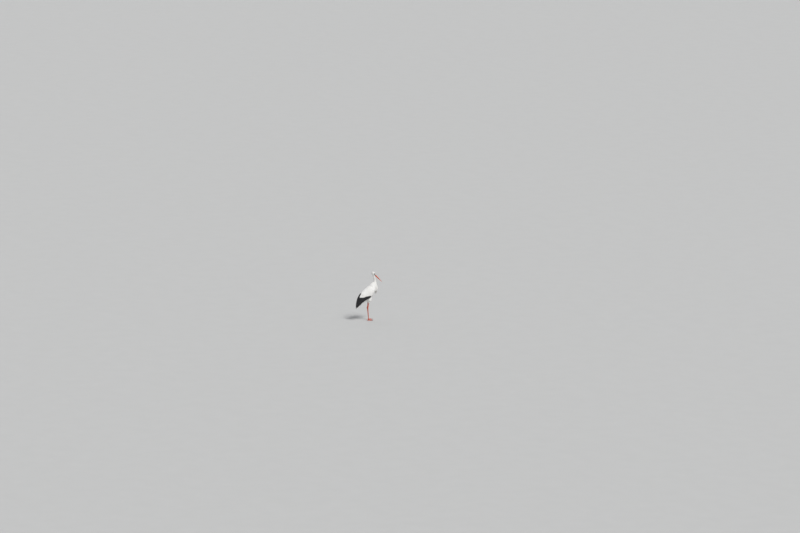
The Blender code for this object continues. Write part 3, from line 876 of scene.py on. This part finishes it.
def lay_tail(tail, material):
    """Twelve tail feathers, the middle pair on top."""
    made = Feathers("tail_feathers", 14, SHAFTED_SPREAD, 0.0004)
    shares = made.shares
    rank = np.array([side * (step + 0.5) / 6 for step in range(5, -1, -1) for side in (-1, 1)])
    beside = rank[:, None] * (0.35 + 0.65 * shares) * tail.wide
    down = -0.0026 * np.abs(rank)[:, None] - 0.006 * rank[:, None] ** 2 * shares
    reach = (tail.length * (1 - 0.03 * rank**2 - RANDOM.uniform(0, 0.025, 12)))[:, None] * shares
    out = down + (tail.height - 0.004) * 0.75
    tail.lay(made, rank, reach, beside, out, 0.032, 0.05, 0.0005, 0.0008)
    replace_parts(made.finished(material, "white_plumage"), "tail")


# ---------------------------------------------------------------- the coat
COAT = {  # gap between roots, length, width, rise of the tip, looseness, stations, points across
    "head": (0.0020, 0.0110, 0.0026, 0.0008, 0.0, 5, 3),
    "neck_upper": (0.0034, 0.0230, 0.0050, 0.0009, 0.1, 6, 3),
    "neck_lower": (0.0052, 0.0420, 0.0090, 0.0010, 0.2, 8, 3),
    "breast_plumes": (0.0056, 0.0760, 0.0100, 0.0018, 0.45, 10, 3),
    "trunk": (0.0082, 0.0480, 0.0200, 0.0016, 0.1, 8, 5),
    "thigh": (0.0058, 0.0380, 0.0100, 0.0016, 1.0, 7, 3),
}
SHOULDER_BAND = (0.035, 0.055)  # how far the neck's feathers reach over the wings, and unevenly
COAT_WEAR = 0.2  # how ragged the small feathers' edges are
HANG_BAND = 0.040  # height over which plumes come off the skin


def head_places(points):
    """Ahead of the bill's base, to the left of and over its axis."""
    gaps = points - BILL_BASE
    return gaps @ BILL_AHEAD, gaps @ BILL_LEFT, gaps @ BILL_OVER


def bareness(points):
    """One on the bare black skin, from the eyes to the bill and under it, and nought elsewhere."""
    ahead, left, over = head_places(points)
    gape = np.hypot((ahead + 0.005) / 0.010, (over - GAPE[1]) / 0.0045)
    chin = np.hypot((ahead + 0.001) / 0.013, left / 0.007)
    found, chin = (smooth_step(1 - away, -0.02, 0.1) for away in (gape, chin))
    found = np.maximum(found, chin * ((over < -0.004) & (over > -0.020)))
    for side in SIDES:
        eye_ahead, eye_left, eye_over = head_places(eye_centre(side))
        to_gape = GAPE - (eye_ahead, eye_over)
        gaps = np.stack([ahead - eye_ahead, over - eye_over], 1)
        share = np.clip(gaps @ to_gape / (to_gape @ to_gape), 0, 1)
        away = np.linalg.norm(gaps - share[:, None] * to_gape, axis=1)
        width = 0.0022 + 0.0084 * (1 - share) ** 1.5
        beside = np.abs(left - eye_left) < 0.02
        found = np.maximum(found, smooth_step(1 - away / width, -0.02, 0.10) * beside)
    return found


def follow(hide, lie, roots, lengths, stations, loose, swing, hang):
    """Centre lines along the skin, their normals and ways, each [feather, station, axis].

    Near and under the height called hang the feathers leave the skin and hang free.
    """
    places, normals, faces = hide.land(roots)
    swing = swing[:, None]
    ways = lie.at(places, normals)
    ways = unit(ways + np.cross(normals, ways) * swing)
    centres, ups, alongs = [places], [normals], [ways]
    step = (lengths / (stations - 1))[:, None]
    for _ in range(stations - 1):
        guess = centres[-1] + alongs[-1] * step
        landed, normals, _ = hide.land(guess)
        height = ((guess - landed) * normals).sum(1)[:, None]
        free = np.maximum(loose, 1 - smooth_step(guess[:, 2:], hang, hang + HANG_BAND))
        way = lie.at(landed, normals)
        way = unit(way + np.cross(normals, way) * swing)
        hanging = unit(alongs[-1] + np.array([0, 0, -0.5]) * free)
        way = unit(way * (1 - free) + hanging * free)
        up = unit(normals * (1 - free) + ups[-1] * free)
        centres.append(landed + normals * np.maximum(height, 0) * free)
        ups.append(unit(up - (up * way).sum(1)[:, None] * way))
        alongs.append(way)
    return [np.stack(rows, 1) for rows in (centres, ups, alongs)] + [hide.unwrapped(places, faces)]


def lay_coat(hide, lie, part, wanted, material):
    """Small feathers of one part of the bird, as one mesh."""
    gap, length, width, rise, loose, stations, spread = COAT[part]
    roots = hide.random_places(int((hide.areas * wanted).sum() / gap**2 * 6), wanted)
    roots = roots[thinned(roots, np.full(len(roots), gap))]
    count = len(roots)
    lengths = length * RANDOM.uniform(0.82, 1.18, count)
    hang = -1.0
    if part == "head":
        lengths = lengths * (0.45 + 0.75 * smooth_step(-head_places(roots)[0], 0.0, 0.075))
    elif part == "thigh":
        hems = Parts(["thigh_left", "thigh_right"]).undersides(roots)
        room = roots[:, 2] - hems + length * RANDOM.uniform(0.02, 0.30, count)
        lengths = np.minimum(lengths, room)
    elif part == "breast_plumes":
        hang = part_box("breast_plumes")[0][2]
        room = np.hypot(roots[:, 2] - hang, 0.020) + 0.026 * RANDOM.random(count)
        lengths = np.minimum(lengths, room)
    paths = follow(hide, lie, roots, lengths, stations, loose, RANDOM.normal(0, 0.09, count), hang)
    line = paths[0].swapaxes(0, 1)
    bare = np.max([bareness(points) for points in line[1:]], 0)
    kept = (lengths > 0.3 * length) & (bare < 0.3)
    if part in ("trunk", "thigh"):
        black = Parts(BLACK_WING)
        kept &= np.min([black.distances(points) for points in line[stations // 2 :]], 0) > 0.003
    centres, normals, ways, places = (path[kept] for path in paths)
    count = len(centres)
    shares = np.linspace(0, 1, stations)  # follow() steps evenly
    lifts = rise * (-0.32 + 1.2 * shares[None] ** 1.2 * RANDOM.uniform(0.7, 1.3, count)[:, None])
    centres = centres + normals * lifts[..., None]
    plume = {"breast_plumes": 1, "thigh": 0.6}.get(part, 0)  # how plume-like, against rounded
    if part == "neck_lower":
        plume = smooth_step(-centres[:, 0, 1], 0.02, 0.10)
    widths = width * RANDOM.uniform(0.85, 1.15, count)
    halves = ragged_halves(pointed_outline, shares, widths * plume, COAT_WEAR)
    halves = halves + ragged_halves(rounded_outline, shares, widths * (1 - plume), COAT_WEAR)
    made = Feathers("feathers_" + part, stations, PLAIN_SPREAD[spread])
    thickness = 0.00045 * min(1, width / 0.008)
    made.add(centres, normals, ways, halves, thickness, places, (width * 0.035, 6.0, 0.0))
    made.finished(material, "white_plumage")


# ---------------------------------------------------------------- bill
def bar(title, around, cuts):
    """A closed bar of radius one in rings, along Z from minus a half to a half."""
    piece = primitive("cylinder", title, vertices=around, radius=1, depth=1)
    heights = coordinates(piece.data)[read(piece.data.edges, "vertices", 2)][:, :, 2]
    upright = np.ptp(heights, 1) > 0.5
    cut = (bpy.ops.mesh.subdivide, {"number_cuts": cuts})
    return edited(piece, cut, chosen=upright, mode="EDGE")


def in_bill(ahead, left, over):
    places = np.stack(np.broadcast_arrays(ahead, left, over), -1)
    return BILL_BASE + places @ np.array([BILL_AHEAD, BILL_LEFT, BILL_OVER])


def cut_nostril(piece, side, length, half_width, half_depth):
    cutter = primitive("uv_sphere", "nostril", segments=24, ring_count=16, radius=1)
    ball = coordinates(cutter.data)
    along, out, up = (ball * NOSTRIL_HALF).T
    up = half_depth * 0.40 + up - NOSTRIL_SLANT * ball[:, 0]
    out = side * (half_width * 0.80 + out)
    set_coordinates(cutter.data, in_bill(NOSTRIL_PLACE * length + along, out, up))
    if side < 0:
        cutter.data.flip_normals()
    apply_modifier(piece, "BOOLEAN", object=cutter, operation="DIFFERENCE", solver="EXACT")
    bpy.data.objects.remove(cutter)


def make_bill(material):
    """Upper and lower half, closed along the cutting edges, with a slit nostril on each side."""
    ahead, left, over = head_places(node_points("bill_upper", "bill_lower"))
    length, half_width = ahead.max(), np.abs(left).max()
    for half, sign, depth, narrowing, grooving in (
        ("upper", 1, over.max(), 0.14, 0.075), ("lower", -1, -over.min(), 0.05, 0.045),
    ):
        piece = bar(f"bill_{half}_horn", 64, 90)
        x, y, z = coordinates(piece.data).T
        share = -0.07 + 1.07 * (z + 0.5)  # of the bill's length; a little of it is in the head
        size = 1 - 0.90 * np.maximum(share, 0) + 3.0 * np.minimum(share, 0)
        size = size * np.sqrt(np.maximum(1 - ((share - 0.93) / 0.0706).clip(0) ** 2, 0.0025))
        outer = y > 0  # the rest is the flat face where the halves meet
        wide = np.sign(x) * np.abs(x) ** 0.85 * (1 - narrowing * np.maximum(y, 0)) * half_width
        groove = smooth_step(share, 0.0, 0.10) * (1 - smooth_step(share, 0.22, 0.46))
        groove = groove * np.exp(-(((y - 0.42) / 0.10) ** 2)) * outer * grooving
        height = np.where(outer, y, y * 0.04)
        tight = 1 - 0.06 * smooth_step(share, 0.02, 0.12) * (1 - smooth_step(share, 0.12, 0.5))
        grain = np.stack([share * length, wide * size, height * half_width * size], 1)
        rough = ripple(grain * np.array([0.25, 1, 1]), 0.004) * 0.00012
        rough = rough * smooth_step(share, 0.0, 0.05) * outer
        across = wide * size * (1 - groove) * tight + np.sign(x) * rough
        up = height * (depth * size - MOUTH_GAP) * tight + MOUTH_GAP + rough
        set_coordinates(piece.data, in_bill(share * length, across, sign * up))
        store(piece.data, "grain", grain)
        if sign > 0:
            piece.data.flip_normals()
            for side in SIDES.values():
                cut_nostril(piece, side, length, half_width, depth)
        edited(piece, OUTWARDS)
        piece.data.shade_smooth()
        piece.data.set_sharp_from_angle(angle=math.radians(50))
        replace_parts(placed(piece, material), f"bill_{half}")


# ---------------------------------------------------------------- eyes
def gaze_frame(side):
    """Unit vectors forward, upward and outward from an eye."""
    out = unit(BILL_LEFT * SIDES[side] + BILL_AHEAD * 0.16 + np.array([0, 0, 0.06]))
    forward = unit(BILL_AHEAD - out * (BILL_AHEAD @ out))
    return np.array([forward, np.cross(out, forward) * SIDES[side], out])


def make_eye(side, eye_material, lid_material):
    """An eyeball with its cornea, and leathery lids with an almond opening round it."""
    low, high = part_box(f"eye_{side}")
    radius = (high[2] - low[2]) / 2 - EYE_SLACK

    def shaped(piece, ways, away, name, values):
        set_coordinates(piece.data, eye_centre(side) + (ways * away[:, None]) @ gaze_frame(side))
        store(piece.data, name, values)
        piece.data.shade_smooth()

    ball = primitive("uv_sphere", f"eyeball_{side}", segments=64, ring_count=40, radius=1)
    ways = coordinates(ball.data)
    bulge = 1 + 0.035 * smooth_step(ways[:, 2], 0.80, 0.97)
    shaped(ball, ways, radius * bulge, "gaze", ways)
    if SIDES[side] < 0:
        ball.data.flip_normals()
    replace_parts(placed(ball, eye_material), f"eye_{side}")

    thin = 0.25
    ring = {"major_segments": 72, "minor_segments": 28, "major_radius": 1, "minor_radius": thin}
    lids = primitive("torus", f"lids_{side}", **ring)
    x, y, z = coordinates(lids.data).T
    around = np.arctan2(y, x)
    ring_out, ring_up = (np.hypot(x, y) - 1) / thin, z / thin
    wide, tall, edge = np.radians(LID_ANGLES)
    wide, tall = np.abs(np.cos(around) / wide), np.abs(np.sin(around) / tall)
    opening = (wide**1.8 + tall**1.8) ** (-1 / 1.8)
    share = (ring_out + 1) / 2  # nought at the opening
    reach = opening + (edge - opening) * share
    creases = ((0.00030, 0.24, 0.07), (0.00022, 0.42, 0.06))
    crease = sum(deep * np.exp(-(((share - place) / width) ** 2)) for deep, place, width in creases)
    wrinkle = 0.00010 * np.sin(around * 23 + 3 * np.sin(around * 5)) * smooth_step(share, 0.1, 0.4)
    thick = 0.0011 * (1 - 0.35 * share)
    away = radius + LID_GAP + thick / 2 + ring_up * thick / 2 + (wrinkle - crease) * (ring_up > 0)
    beside = np.sin(reach)
    ways = np.stack([np.cos(around) * beside, np.sin(around) * beside, np.cos(reach)], 1)
    shaped(lids, ways, away, "bare", np.ones(len(x)))
    placed(edited(lids, OUTWARDS), lid_material)


# ---------------------------------------------------------------- legs
def cell_edges(rows, turns, around):
    """Nought on the edges of an uneven honeycomb round a leg, and larger inside its cells."""
    found = []
    for step in (-1, 0, 1):
        row = np.floor(rows) + step
        shift = 0.5 * (row % 2)
        for beside in (-1, 0, 1):
            cell = np.floor(turns - shift) + beside
            seed = row * 7.31 + (cell % around) * 3.17
            middle_row = row + 0.5 + 0.22 * np.sin(seed * 5.1)
            middle_turn = cell + 0.5 + shift + 0.22 * np.sin(seed * 3.7 + 1.0)
            found.append(np.hypot(rows - middle_row, turns - middle_turn))
    first, second = np.sort(found, axis=0)[:2]
    return second - first


def leg_plates(points, side):
    """Height of the plates: in rings of cells round the leg, and across the top of each toe."""
    line = slice_middles(points[points[:, 2] > 0.020], DOWN, 24)[::-1]
    share = np.interp(points[:, 2], line[:, 2], range(len(line)))
    gap = points[:, :2] - on_line(line, share, (0, 1))
    turn = np.arctan2(*gap.T) / (2 * np.pi) * PLATES_AROUND
    on_leg = smooth_step(cell_edges(points[:, 2] / PLATE_LENGTH, turn, PLATES_AROUND), 0.04, 0.30)
    away = np.hypot(*(points - box_middle(f"foot_{side}"))[:, :2].T)
    across = np.abs((away / TOE_PLATE) % 1 - 0.5) * 2
    on_toe = 1 - smooth_step(across, 0.60, 1.0)
    return on_leg, on_toe, smooth_step(points[:, 2], 0.014, 0.020)


def tucked(points, side):
    """The foot's points with the toes' ends drawn in round the claws."""
    for toe in TOES:
        claw = node_points(f"claw_{side}_{toe}")
        way = unit((claw.mean(0) - box_middle(f"foot_{side}")) * np.array([1, 1, 0]))
        start = (claw @ way).min()
        gaps = points - claw[claw @ way < start + 0.001].mean(0)
        ahead = gaps @ way
        out = gaps - ahead[:, None] * way
        near = (np.linalg.norm(out, axis=1) < TOE_REACH) & (ahead < TOE_TUCK)
        points = points - out * (TOE_DRAW * smooth_step(ahead, -TOE_TUCK, 0.0005) * near)[:, None]
    return points


def over_floor(piece):
    points = coordinates(piece.data)
    points[:, 2] = np.maximum(points[:, 2], 0.0)
    set_coordinates(piece.data, points)
    piece.data.shade_smooth()
    return piece


def make_leg(side, material, claw_material):
    """Bare leg and foot in one skin with plates, and the claws."""
    names = [f"{part}_{side}" for part in ("shin", "shank", "foot")]
    names += [f"toe_{side}_{toe}" for toe in TOES]
    leg = joined_copy(names, f"leg_{side}_skin")
    smoothed(remeshed(grown(leg, LEG_CLOSING), LEG_VOXEL), 6)
    smoothed(grown(leg, -LEG_CLOSING), 4)
    set_coordinates(leg.data, tucked(coordinates(leg.data), side))
    points, normals = coordinates(leg.data), vertex_normals(leg.data)
    on_leg, on_toe, upward = leg_plates(points, side)
    top = smooth_step(normals[:, 2], -0.1, 0.5)
    pads = ripple(points, 0.0022) * 0.5 + 0.5
    plate = on_leg * upward + (1 - upward) * (on_toe * top + pads * (1 - top))
    moved_out(leg, (plate - 0.7) * PLATE_RISE + ripple(points, 0.0045, 1.0) * 0.00012)
    store(leg.data, "plate", plate)
    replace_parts(placed(over_floor(leg), material), *names)

    names = [f"claw_{side}_{toe}" for toe in TOES]
    claws = grown(joined_copy(names, f"claws_{side}"), CLAW_FILL)
    apply_modifier(claws, "SUBSURF", levels=2, render_levels=2)
    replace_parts(placed(over_floor(claws), claw_material), *names)


# ---------------------------------------------------------------- materials
def feed(tree, target, inputs):
    """Sets a node's inputs, each to a value, a colour or another node's output."""
    for key, value in inputs.items():
        socket = target.inputs[key]
        if isinstance(value, bpy.types.NodeSocket):
            tree.links.new(value, socket)
        else:
            socket.default_value = (*value, 1) if socket.type == "RGBA" else value
    return target


def new_material(name, colour, roughness, **constants):
    """A material with its Principled shader and constants set."""
    material = bpy.data.materials.new(name)
    material.use_nodes = True
    tree = material.node_tree
    shader = tree.nodes["Principled BSDF"]
    feed(tree, shader, {"Base Color": colour, "Roughness": roughness})
    feed(tree, shader, {socket.replace("_", " "): value for socket, value in constants.items()})
    return material, tree, shader


def node(tree, kind, inputs=None, **settings):
    made = tree.nodes.new("ShaderNode" + kind)
    for setting, value in settings.items():
        setattr(made, setting, value)
    return feed(tree, made, inputs or {})


def own_place(tree):
    return node(tree, "TexCoord").outputs["Object"]


def stored(tree, name, output="Fac"):
    return node(tree, "Attribute", attribute_name=name).outputs[output]


def ramp(tree, value, low, high, start=0.0, end=1.0):
    """From start to end while the value goes from low to high."""
    return node(tree, "MapRange", {0: value, 1: low, 2: high, 3: start, 4: end}).outputs[0]


def sums(tree, operation, first, second=0.0):
    return node(tree, "Math", {0: first, 1: second}, operation=operation).outputs[0]


def blended(tree, share, first, second, way="MIX"):
    """A colour between two colours."""
    inputs = {0: share, 6: first, 7: second}
    return node(tree, "Mix", inputs, data_type="RGBA", blend_type=way).outputs[2]


def new_group(title, inputs, outputs):
    """A shader node group with named inputs and outputs, and its two end nodes."""
    group = bpy.data.node_groups.new(title, "ShaderNodeTree")
    for way, sockets in (("INPUT", inputs), ("OUTPUT", outputs)):
        for name, (kind, value) in sockets.items():
            socket = group.interface.new_socket(name, in_out=way, socket_type="NodeSocket" + kind)
            if value is not None:
                socket.default_value = value
    return group, group.nodes.new("NodeGroupInput").outputs, group.nodes.new("NodeGroupOutput")


NUMBER, COLOUR, PLACE = (("Float", None), ("Color", None), ("Vector", None))


def vane_group():
    """Shade, shaft and barbs of a feather from its own map."""
    group, given, put = new_group(
        "vane_structure", {"Barbs": ("Float", 34.0), "Shaft Width": ("Float", 0.05)},
        {"Length": NUMBER, "Shaft": NUMBER, "Height": NUMBER},
    )
    own = node(group, "UVMap", uv_map="vane").outputs[0]
    x, y, _ = node(group, "SeparateXYZ", {0: own}).outputs
    across = sums(group, "ABSOLUTE", sums(group, "SUBTRACT", x, 0.5))
    slant = sums(group, "SUBTRACT", y, sums(group, "MULTIPLY", across, 0.45))
    noise = node(group, "TexNoise", {"Vector": own, "Scale": 9.0, "Detail": 2.0})
    wobble = sums(group, "MULTIPLY", noise.outputs["Fac"], 0.10)
    turns = sums(group, "MULTIPLY", sums(group, "ADD", slant, wobble), given["Barbs"])
    barbs = sums(group, "SINE", sums(group, "MULTIPLY", turns, 2 * math.pi))
    shaft = ramp(group, across, 0.0, given["Shaft Width"], 1.0, 0.0)
    height = sums(group, "ADD", sums(group, "MULTIPLY", barbs, 0.35), shaft)
    feed(group, put, {"Length": y, "Shaft": shaft, "Height": height})
    return group


def mottle_group():
    """An uneven tone between two colours, and the height of the same pattern."""
    group, given, put = new_group(
        "mottle", {"Place": PLACE, "Scale": ("Float", 100.0), "Dark": COLOUR, "Light": COLOUR},
        {"Colour": COLOUR, "Height": NUMBER},
    )
    pattern = {"Vector": given["Place"], "Scale": given["Scale"], "Detail": 4.0}
    share = ramp(group, node(group, "TexNoise", pattern).outputs["Fac"], 0.32, 0.68)
    colour = blended(group, share, given["Dark"], given["Light"])
    feed(group, put, {"Colour": colour, "Height": share})
    return group


def mottled(tree, mottle, place, scale, dark, light):
    inputs = {"Place": place, "Scale": scale, "Dark": dark, "Light": light}
    return node(tree, "Group", inputs, node_tree=mottle).outputs


def finished(tree, shader, height, distance, strength=0.6, **inputs):
    """Gives the shader its relief and what changes over the surface."""
    bump = node(tree, "Bump", {"Height": height, "Strength": strength, "Distance": distance})
    feed(tree, shader, {"Normal": bump.outputs[0]})
    feed(tree, shader, {name.replace("_", " "): value for name, value in inputs.items()})


def plumage(name, vanes, mottle, dark, light, shaft, roughness, barbs, depth, **constants):
    """Feathers: darker towards the root as painted shade, with a shaft, barbs and a tint of their
    own.
    """
    material, tree, shader = new_material(name, light, roughness, **constants)
    vane = node(tree, "Group", {"Barbs": barbs}, node_tree=vanes).outputs
    colour = mottled(tree, mottle, own_place(tree), 16.0, dark, light)["Colour"]
    # painted shade: each feather goes to the first colour towards its root, where the feathers over
    # it shade it
    colour = blended(tree, ramp(tree, vane["Length"], 0.05, 0.60), dark, colour)
    colour = blended(tree, sums(tree, "MULTIPLY", vane["Shaft"], 0.4), colour, shaft)
    value = ramp(tree, stored(tree, "tint"), 0.0, 1.0, 0.94, 1.04)
    varied = node(tree, "HueSaturation", {"Color": colour, "Value": value})
    finished(tree, shader, vane["Height"], depth, 0.5, Base_Color=varied.outputs[0])
    return material


def hide_skin(mottle):
    """The skin: pale under the feathers, black and leathery where it is bare."""
    material, tree, shader = new_material("bird_skin", (0.8, 0.78, 0.74), 0.75)
    place, bare = own_place(tree), stored(tree, "bare")
    pale = mottled(tree, mottle, place, 60.0, (0.74, 0.72, 0.68), (0.84, 0.83, 0.80))["Colour"]
    dark, light = (0.010, 0.009, 0.010), (0.032, 0.028, 0.028)
    black, height = mottled(tree, mottle, place, 700.0, dark, light)
    colour = blended(tree, bare, pale, black)
    rough = ramp(tree, bare, 0.0, 1.0, 0.8, 0.48)
    finished(tree, shader, height, 0.0002, Base_Color=colour, Roughness=rough)
    return material


def bill_horn(mottle):
    """Satin red horn, streaked along the bill, duller at the base and scuffed."""
    constants = {"Coat_Weight": 0.15, "Coat_Roughness": 0.25}
    material, tree, shader = new_material("bill_horn", (0.6, 0.07, 0.02), 0.36, **constants)
    grain = stored(tree, "grain", "Vector")
    stretched = node(tree, "Mapping", {"Vector": grain, "Scale": (0.12, 1.0, 1.0)}).outputs[0]
    dark, light = (0.66, 0.075, 0.012), (0.80, 0.135, 0.020)
    streaks, height = mottled(tree, mottle, stretched, 900.0, dark, light)
    stains = mottled(tree, mottle, grain, 90.0, (0.86, 0.80, 0.78), (1.0, 1.0, 1.0))["Colour"]
    mixed = blended(tree, 1.0, streaks, stains, "MULTIPLY")
    base = ramp(tree, node(tree, "SeparateXYZ", {0: grain}).outputs[0], 0.0, 0.022, 1.0, 0.0)
    colour = blended(tree, sums(tree, "MULTIPLY", base, 0.45), mixed, (0.42, 0.045, 0.012))
    rough = ramp(tree, height, 0.0, 1.0, 0.30, 0.46)
    finished(tree, shader, height, 0.00012, Base_Color=colour, Roughness=rough)
    return material


def leg_leather(mottle):
    """Red scaly skin, with pale dust in the grooves between its plates."""
    material, tree, shader = new_material("leg_leather", (0.6, 0.09, 0.03), 0.55)
    place, plate = own_place(tree), stored(tree, "plate")
    plates, height = mottled(tree, mottle, place, 260.0, (0.47, 0.050, 0.016), (0.66, 0.105, 0.034))
    colour = blended(tree, ramp(tree, plate, 0.0, 0.6), (0.40, 0.075, 0.045), plates)
    rough = ramp(tree, plate, 0.0, 1.0, 0.72, 0.46)
    fine = node(tree, "TexVoronoi", {"Vector": place, "Scale": 900.0}).outputs["Distance"]
    relief = sums(tree, "ADD", height, fine)
    finished(tree, shader, relief, 0.00015, Base_Color=colour, Roughness=rough)
    return material


def claw_horn(mottle):
    material, tree, shader = new_material("claw_horn", (0.05, 0.035, 0.03), 0.4)
    dark, light = (0.022, 0.014, 0.012), (0.085, 0.055, 0.042)
    colour, height = mottled(tree, mottle, own_place(tree), 420.0, dark, light)
    finished(tree, shader, height, 0.0001, Base_Color=colour)
    return material


def eye_gloss(mottle):
    """Black pupil in a dark brown iris, under a wet cornea."""
    material, tree, shader = new_material(
        "eye_gloss", (0.02, 0.01, 0.006), 0.5,
        Coat_Weight=1.0, Coat_Roughness=0.03, Coat_IOR=1.3, Specular_IOR_Level=0.1,
    )
    x, y, _ = node(tree, "SeparateXYZ", {0: stored(tree, "gaze", "Vector")}).outputs
    squares = (sums(tree, "POWER", part, 2.0) for part in (x, y))
    outwards = sums(tree, "SQRT", sums(tree, "ADD", *squares))
    around = sums(tree, "MULTIPLY", sums(tree, "ARCTAN2", y, x), 4.0)
    spokes = node(tree, "CombineXYZ", {0: around, 1: outwards}).outputs[0]
    dark, light = (0.024, 0.010, 0.006), (0.068, 0.030, 0.016)
    brown = mottled(tree, mottle, spokes, 3.0, dark, light)["Colour"]
    inside = blended(tree, ramp(tree, outwards, 0.27, 0.31), (0.002, 0.002, 0.002), brown)
    colour = blended(tree, ramp(tree, outwards, 0.55, 0.62), inside, (0.008, 0.006, 0.006))
    feed(tree, shader, {"Base Color": colour})
    return material


# ---------------------------------------------------------------- studio
STAGE_SPAN = 14.81  # metres that the view takes in from side to side at the bird
LAMPS = (("key", 2.5, 20, (38, 0, -75)), ("fill", 0.5, 60, (55, 0, 100)))  # power, spread, turns
SENSOR = 36.0  # millimetres
CAMERA_AWAY = 90.0
CAMERA_AZIMUTH = 245.0
CAMERA_ELEVATION = 10.0
AIM = (0.585, 0.990)  # the view's middle, to the right of and over the spot under the bird


def studio():
    """A pale floor, soft light and the camera."""
    floor = primitive("circle", "floor", vertices=128, radius=400, fill_type="NGON")
    material, tree, shader = new_material("pale_floor", (0.50, 0.50, 0.49), 0.9)
    pattern = {"Vector": own_place(tree), "Scale": 3.0, "Detail": 4.0}
    grain = node(tree, "TexNoise", pattern).outputs["Fac"]
    feed(tree, shader, {"Base Color": blended(tree, grain, (0.49, 0.49, 0.48), (0.52, 0.52, 0.51))})
    floor.data.materials.append(material)
    scene = bpy.context.scene
    scene.world = bpy.data.worlds.new("studio_air")
    scene.world.use_nodes = True
    air = scene.world.node_tree
    feed(air, air.nodes["Background"], {"Color": (0.93, 0.95, 1.0), "Strength": 0.38})
    for name, power, spread, turns in LAMPS:
        lamp = bpy.data.lights.new(name, "SUN")
        lamp.energy, lamp.angle = power, math.radians(spread)
        lit = bpy.data.objects.new(name, lamp)
        lit.rotation_euler = [math.radians(turn) for turn in turns]
        scene.collection.objects.link(lit)
    turn, rise = math.radians(CAMERA_AZIMUTH), math.radians(CAMERA_ELEVATION)
    level = math.cos(rise)
    back = Vector((math.sin(turn) * level, -math.cos(turn) * level, math.sin(rise)))
    right = Vector((0, 0, 1)).cross(back).normalized()
    aim = right * AIM[0] + back.cross(right) * AIM[1]
    camera = bpy.data.objects.new("camera", bpy.data.cameras.new("camera"))
    camera.data.sensor_width = SENSOR
    camera.data.lens = SENSOR * CAMERA_AWAY / STAGE_SPAN
    camera.data.clip_start, camera.data.clip_end = 1.0, 1000.0
    camera.location = aim + back * CAMERA_AWAY
    camera.rotation_euler = (-back).to_track_quat("-Z", "Y").to_euler()
    scene.collection.objects.link(camera)
    scene.camera = camera
    scene.view_settings.view_transform = "Standard"


# ---------------------------------------------------------------- the bird
def main():
    vane, mottle = vane_group(), mottle_group()
    # each plumage's first colour is its darker random tone and also the painted shade at the
    # feathers' roots
    white = plumage(
        "white_plumage", vane, mottle, (0.78, 0.765, 0.73), (0.87, 0.865, 0.84), (0.84, 0.82, 0.77),
        0.82, 34.0, 0.00012, Sheen_Weight=0.15,
    )
    black = plumage(
        "black_plumage", vane, mottle, (0.009, 0.009, 0.011), (0.017, 0.016, 0.018),
        (0.006, 0.006, 0.007), 0.44, 90.0, 0.0002,
    )
    bare = hide_skin(mottle)
    wing = FoldedWing()
    skin = make_skin(wing)
    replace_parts(placed(skin, bare), *FLESH, *WING_FLESH)
    hide, lie = Hide(skin), Lie()
    feathered = (bareness(hide.middles) < 0.5) & hide.open
    ragged = SHOULDER_BAND[0] + SHOULDER_BAND[1] * RANDOM.random(len(hide.middles))
    shoulder = Parts(["neck_lower"]).distances(hide.middles) < ragged
    for part in COAT:
        wanted = (hide.part == part) & feathered
        if part == "neck_lower":
            wanted = wanted | (shoulder & np.isin(hide.part, WING_PARTS[:2]))
        lay_coat(hide, lie, part, wanted, white)
    lay_black_wing(wing, hide, black)
    lay_white_wing(wing, hide, white)
    make_linings(wing, black)
    tail = Tail(hide)
    lay_tail(tail, white)
    lay_tail_coverts(tail, white)
    make_bill(bill_horn(mottle))
    eye, leather, claw = eye_gloss(mottle), leg_leather(mottle), claw_horn(mottle)
    for side in SIDES:
        make_eye(side, eye, bare)
        make_leg(side, leather, claw)
    studio()


main()
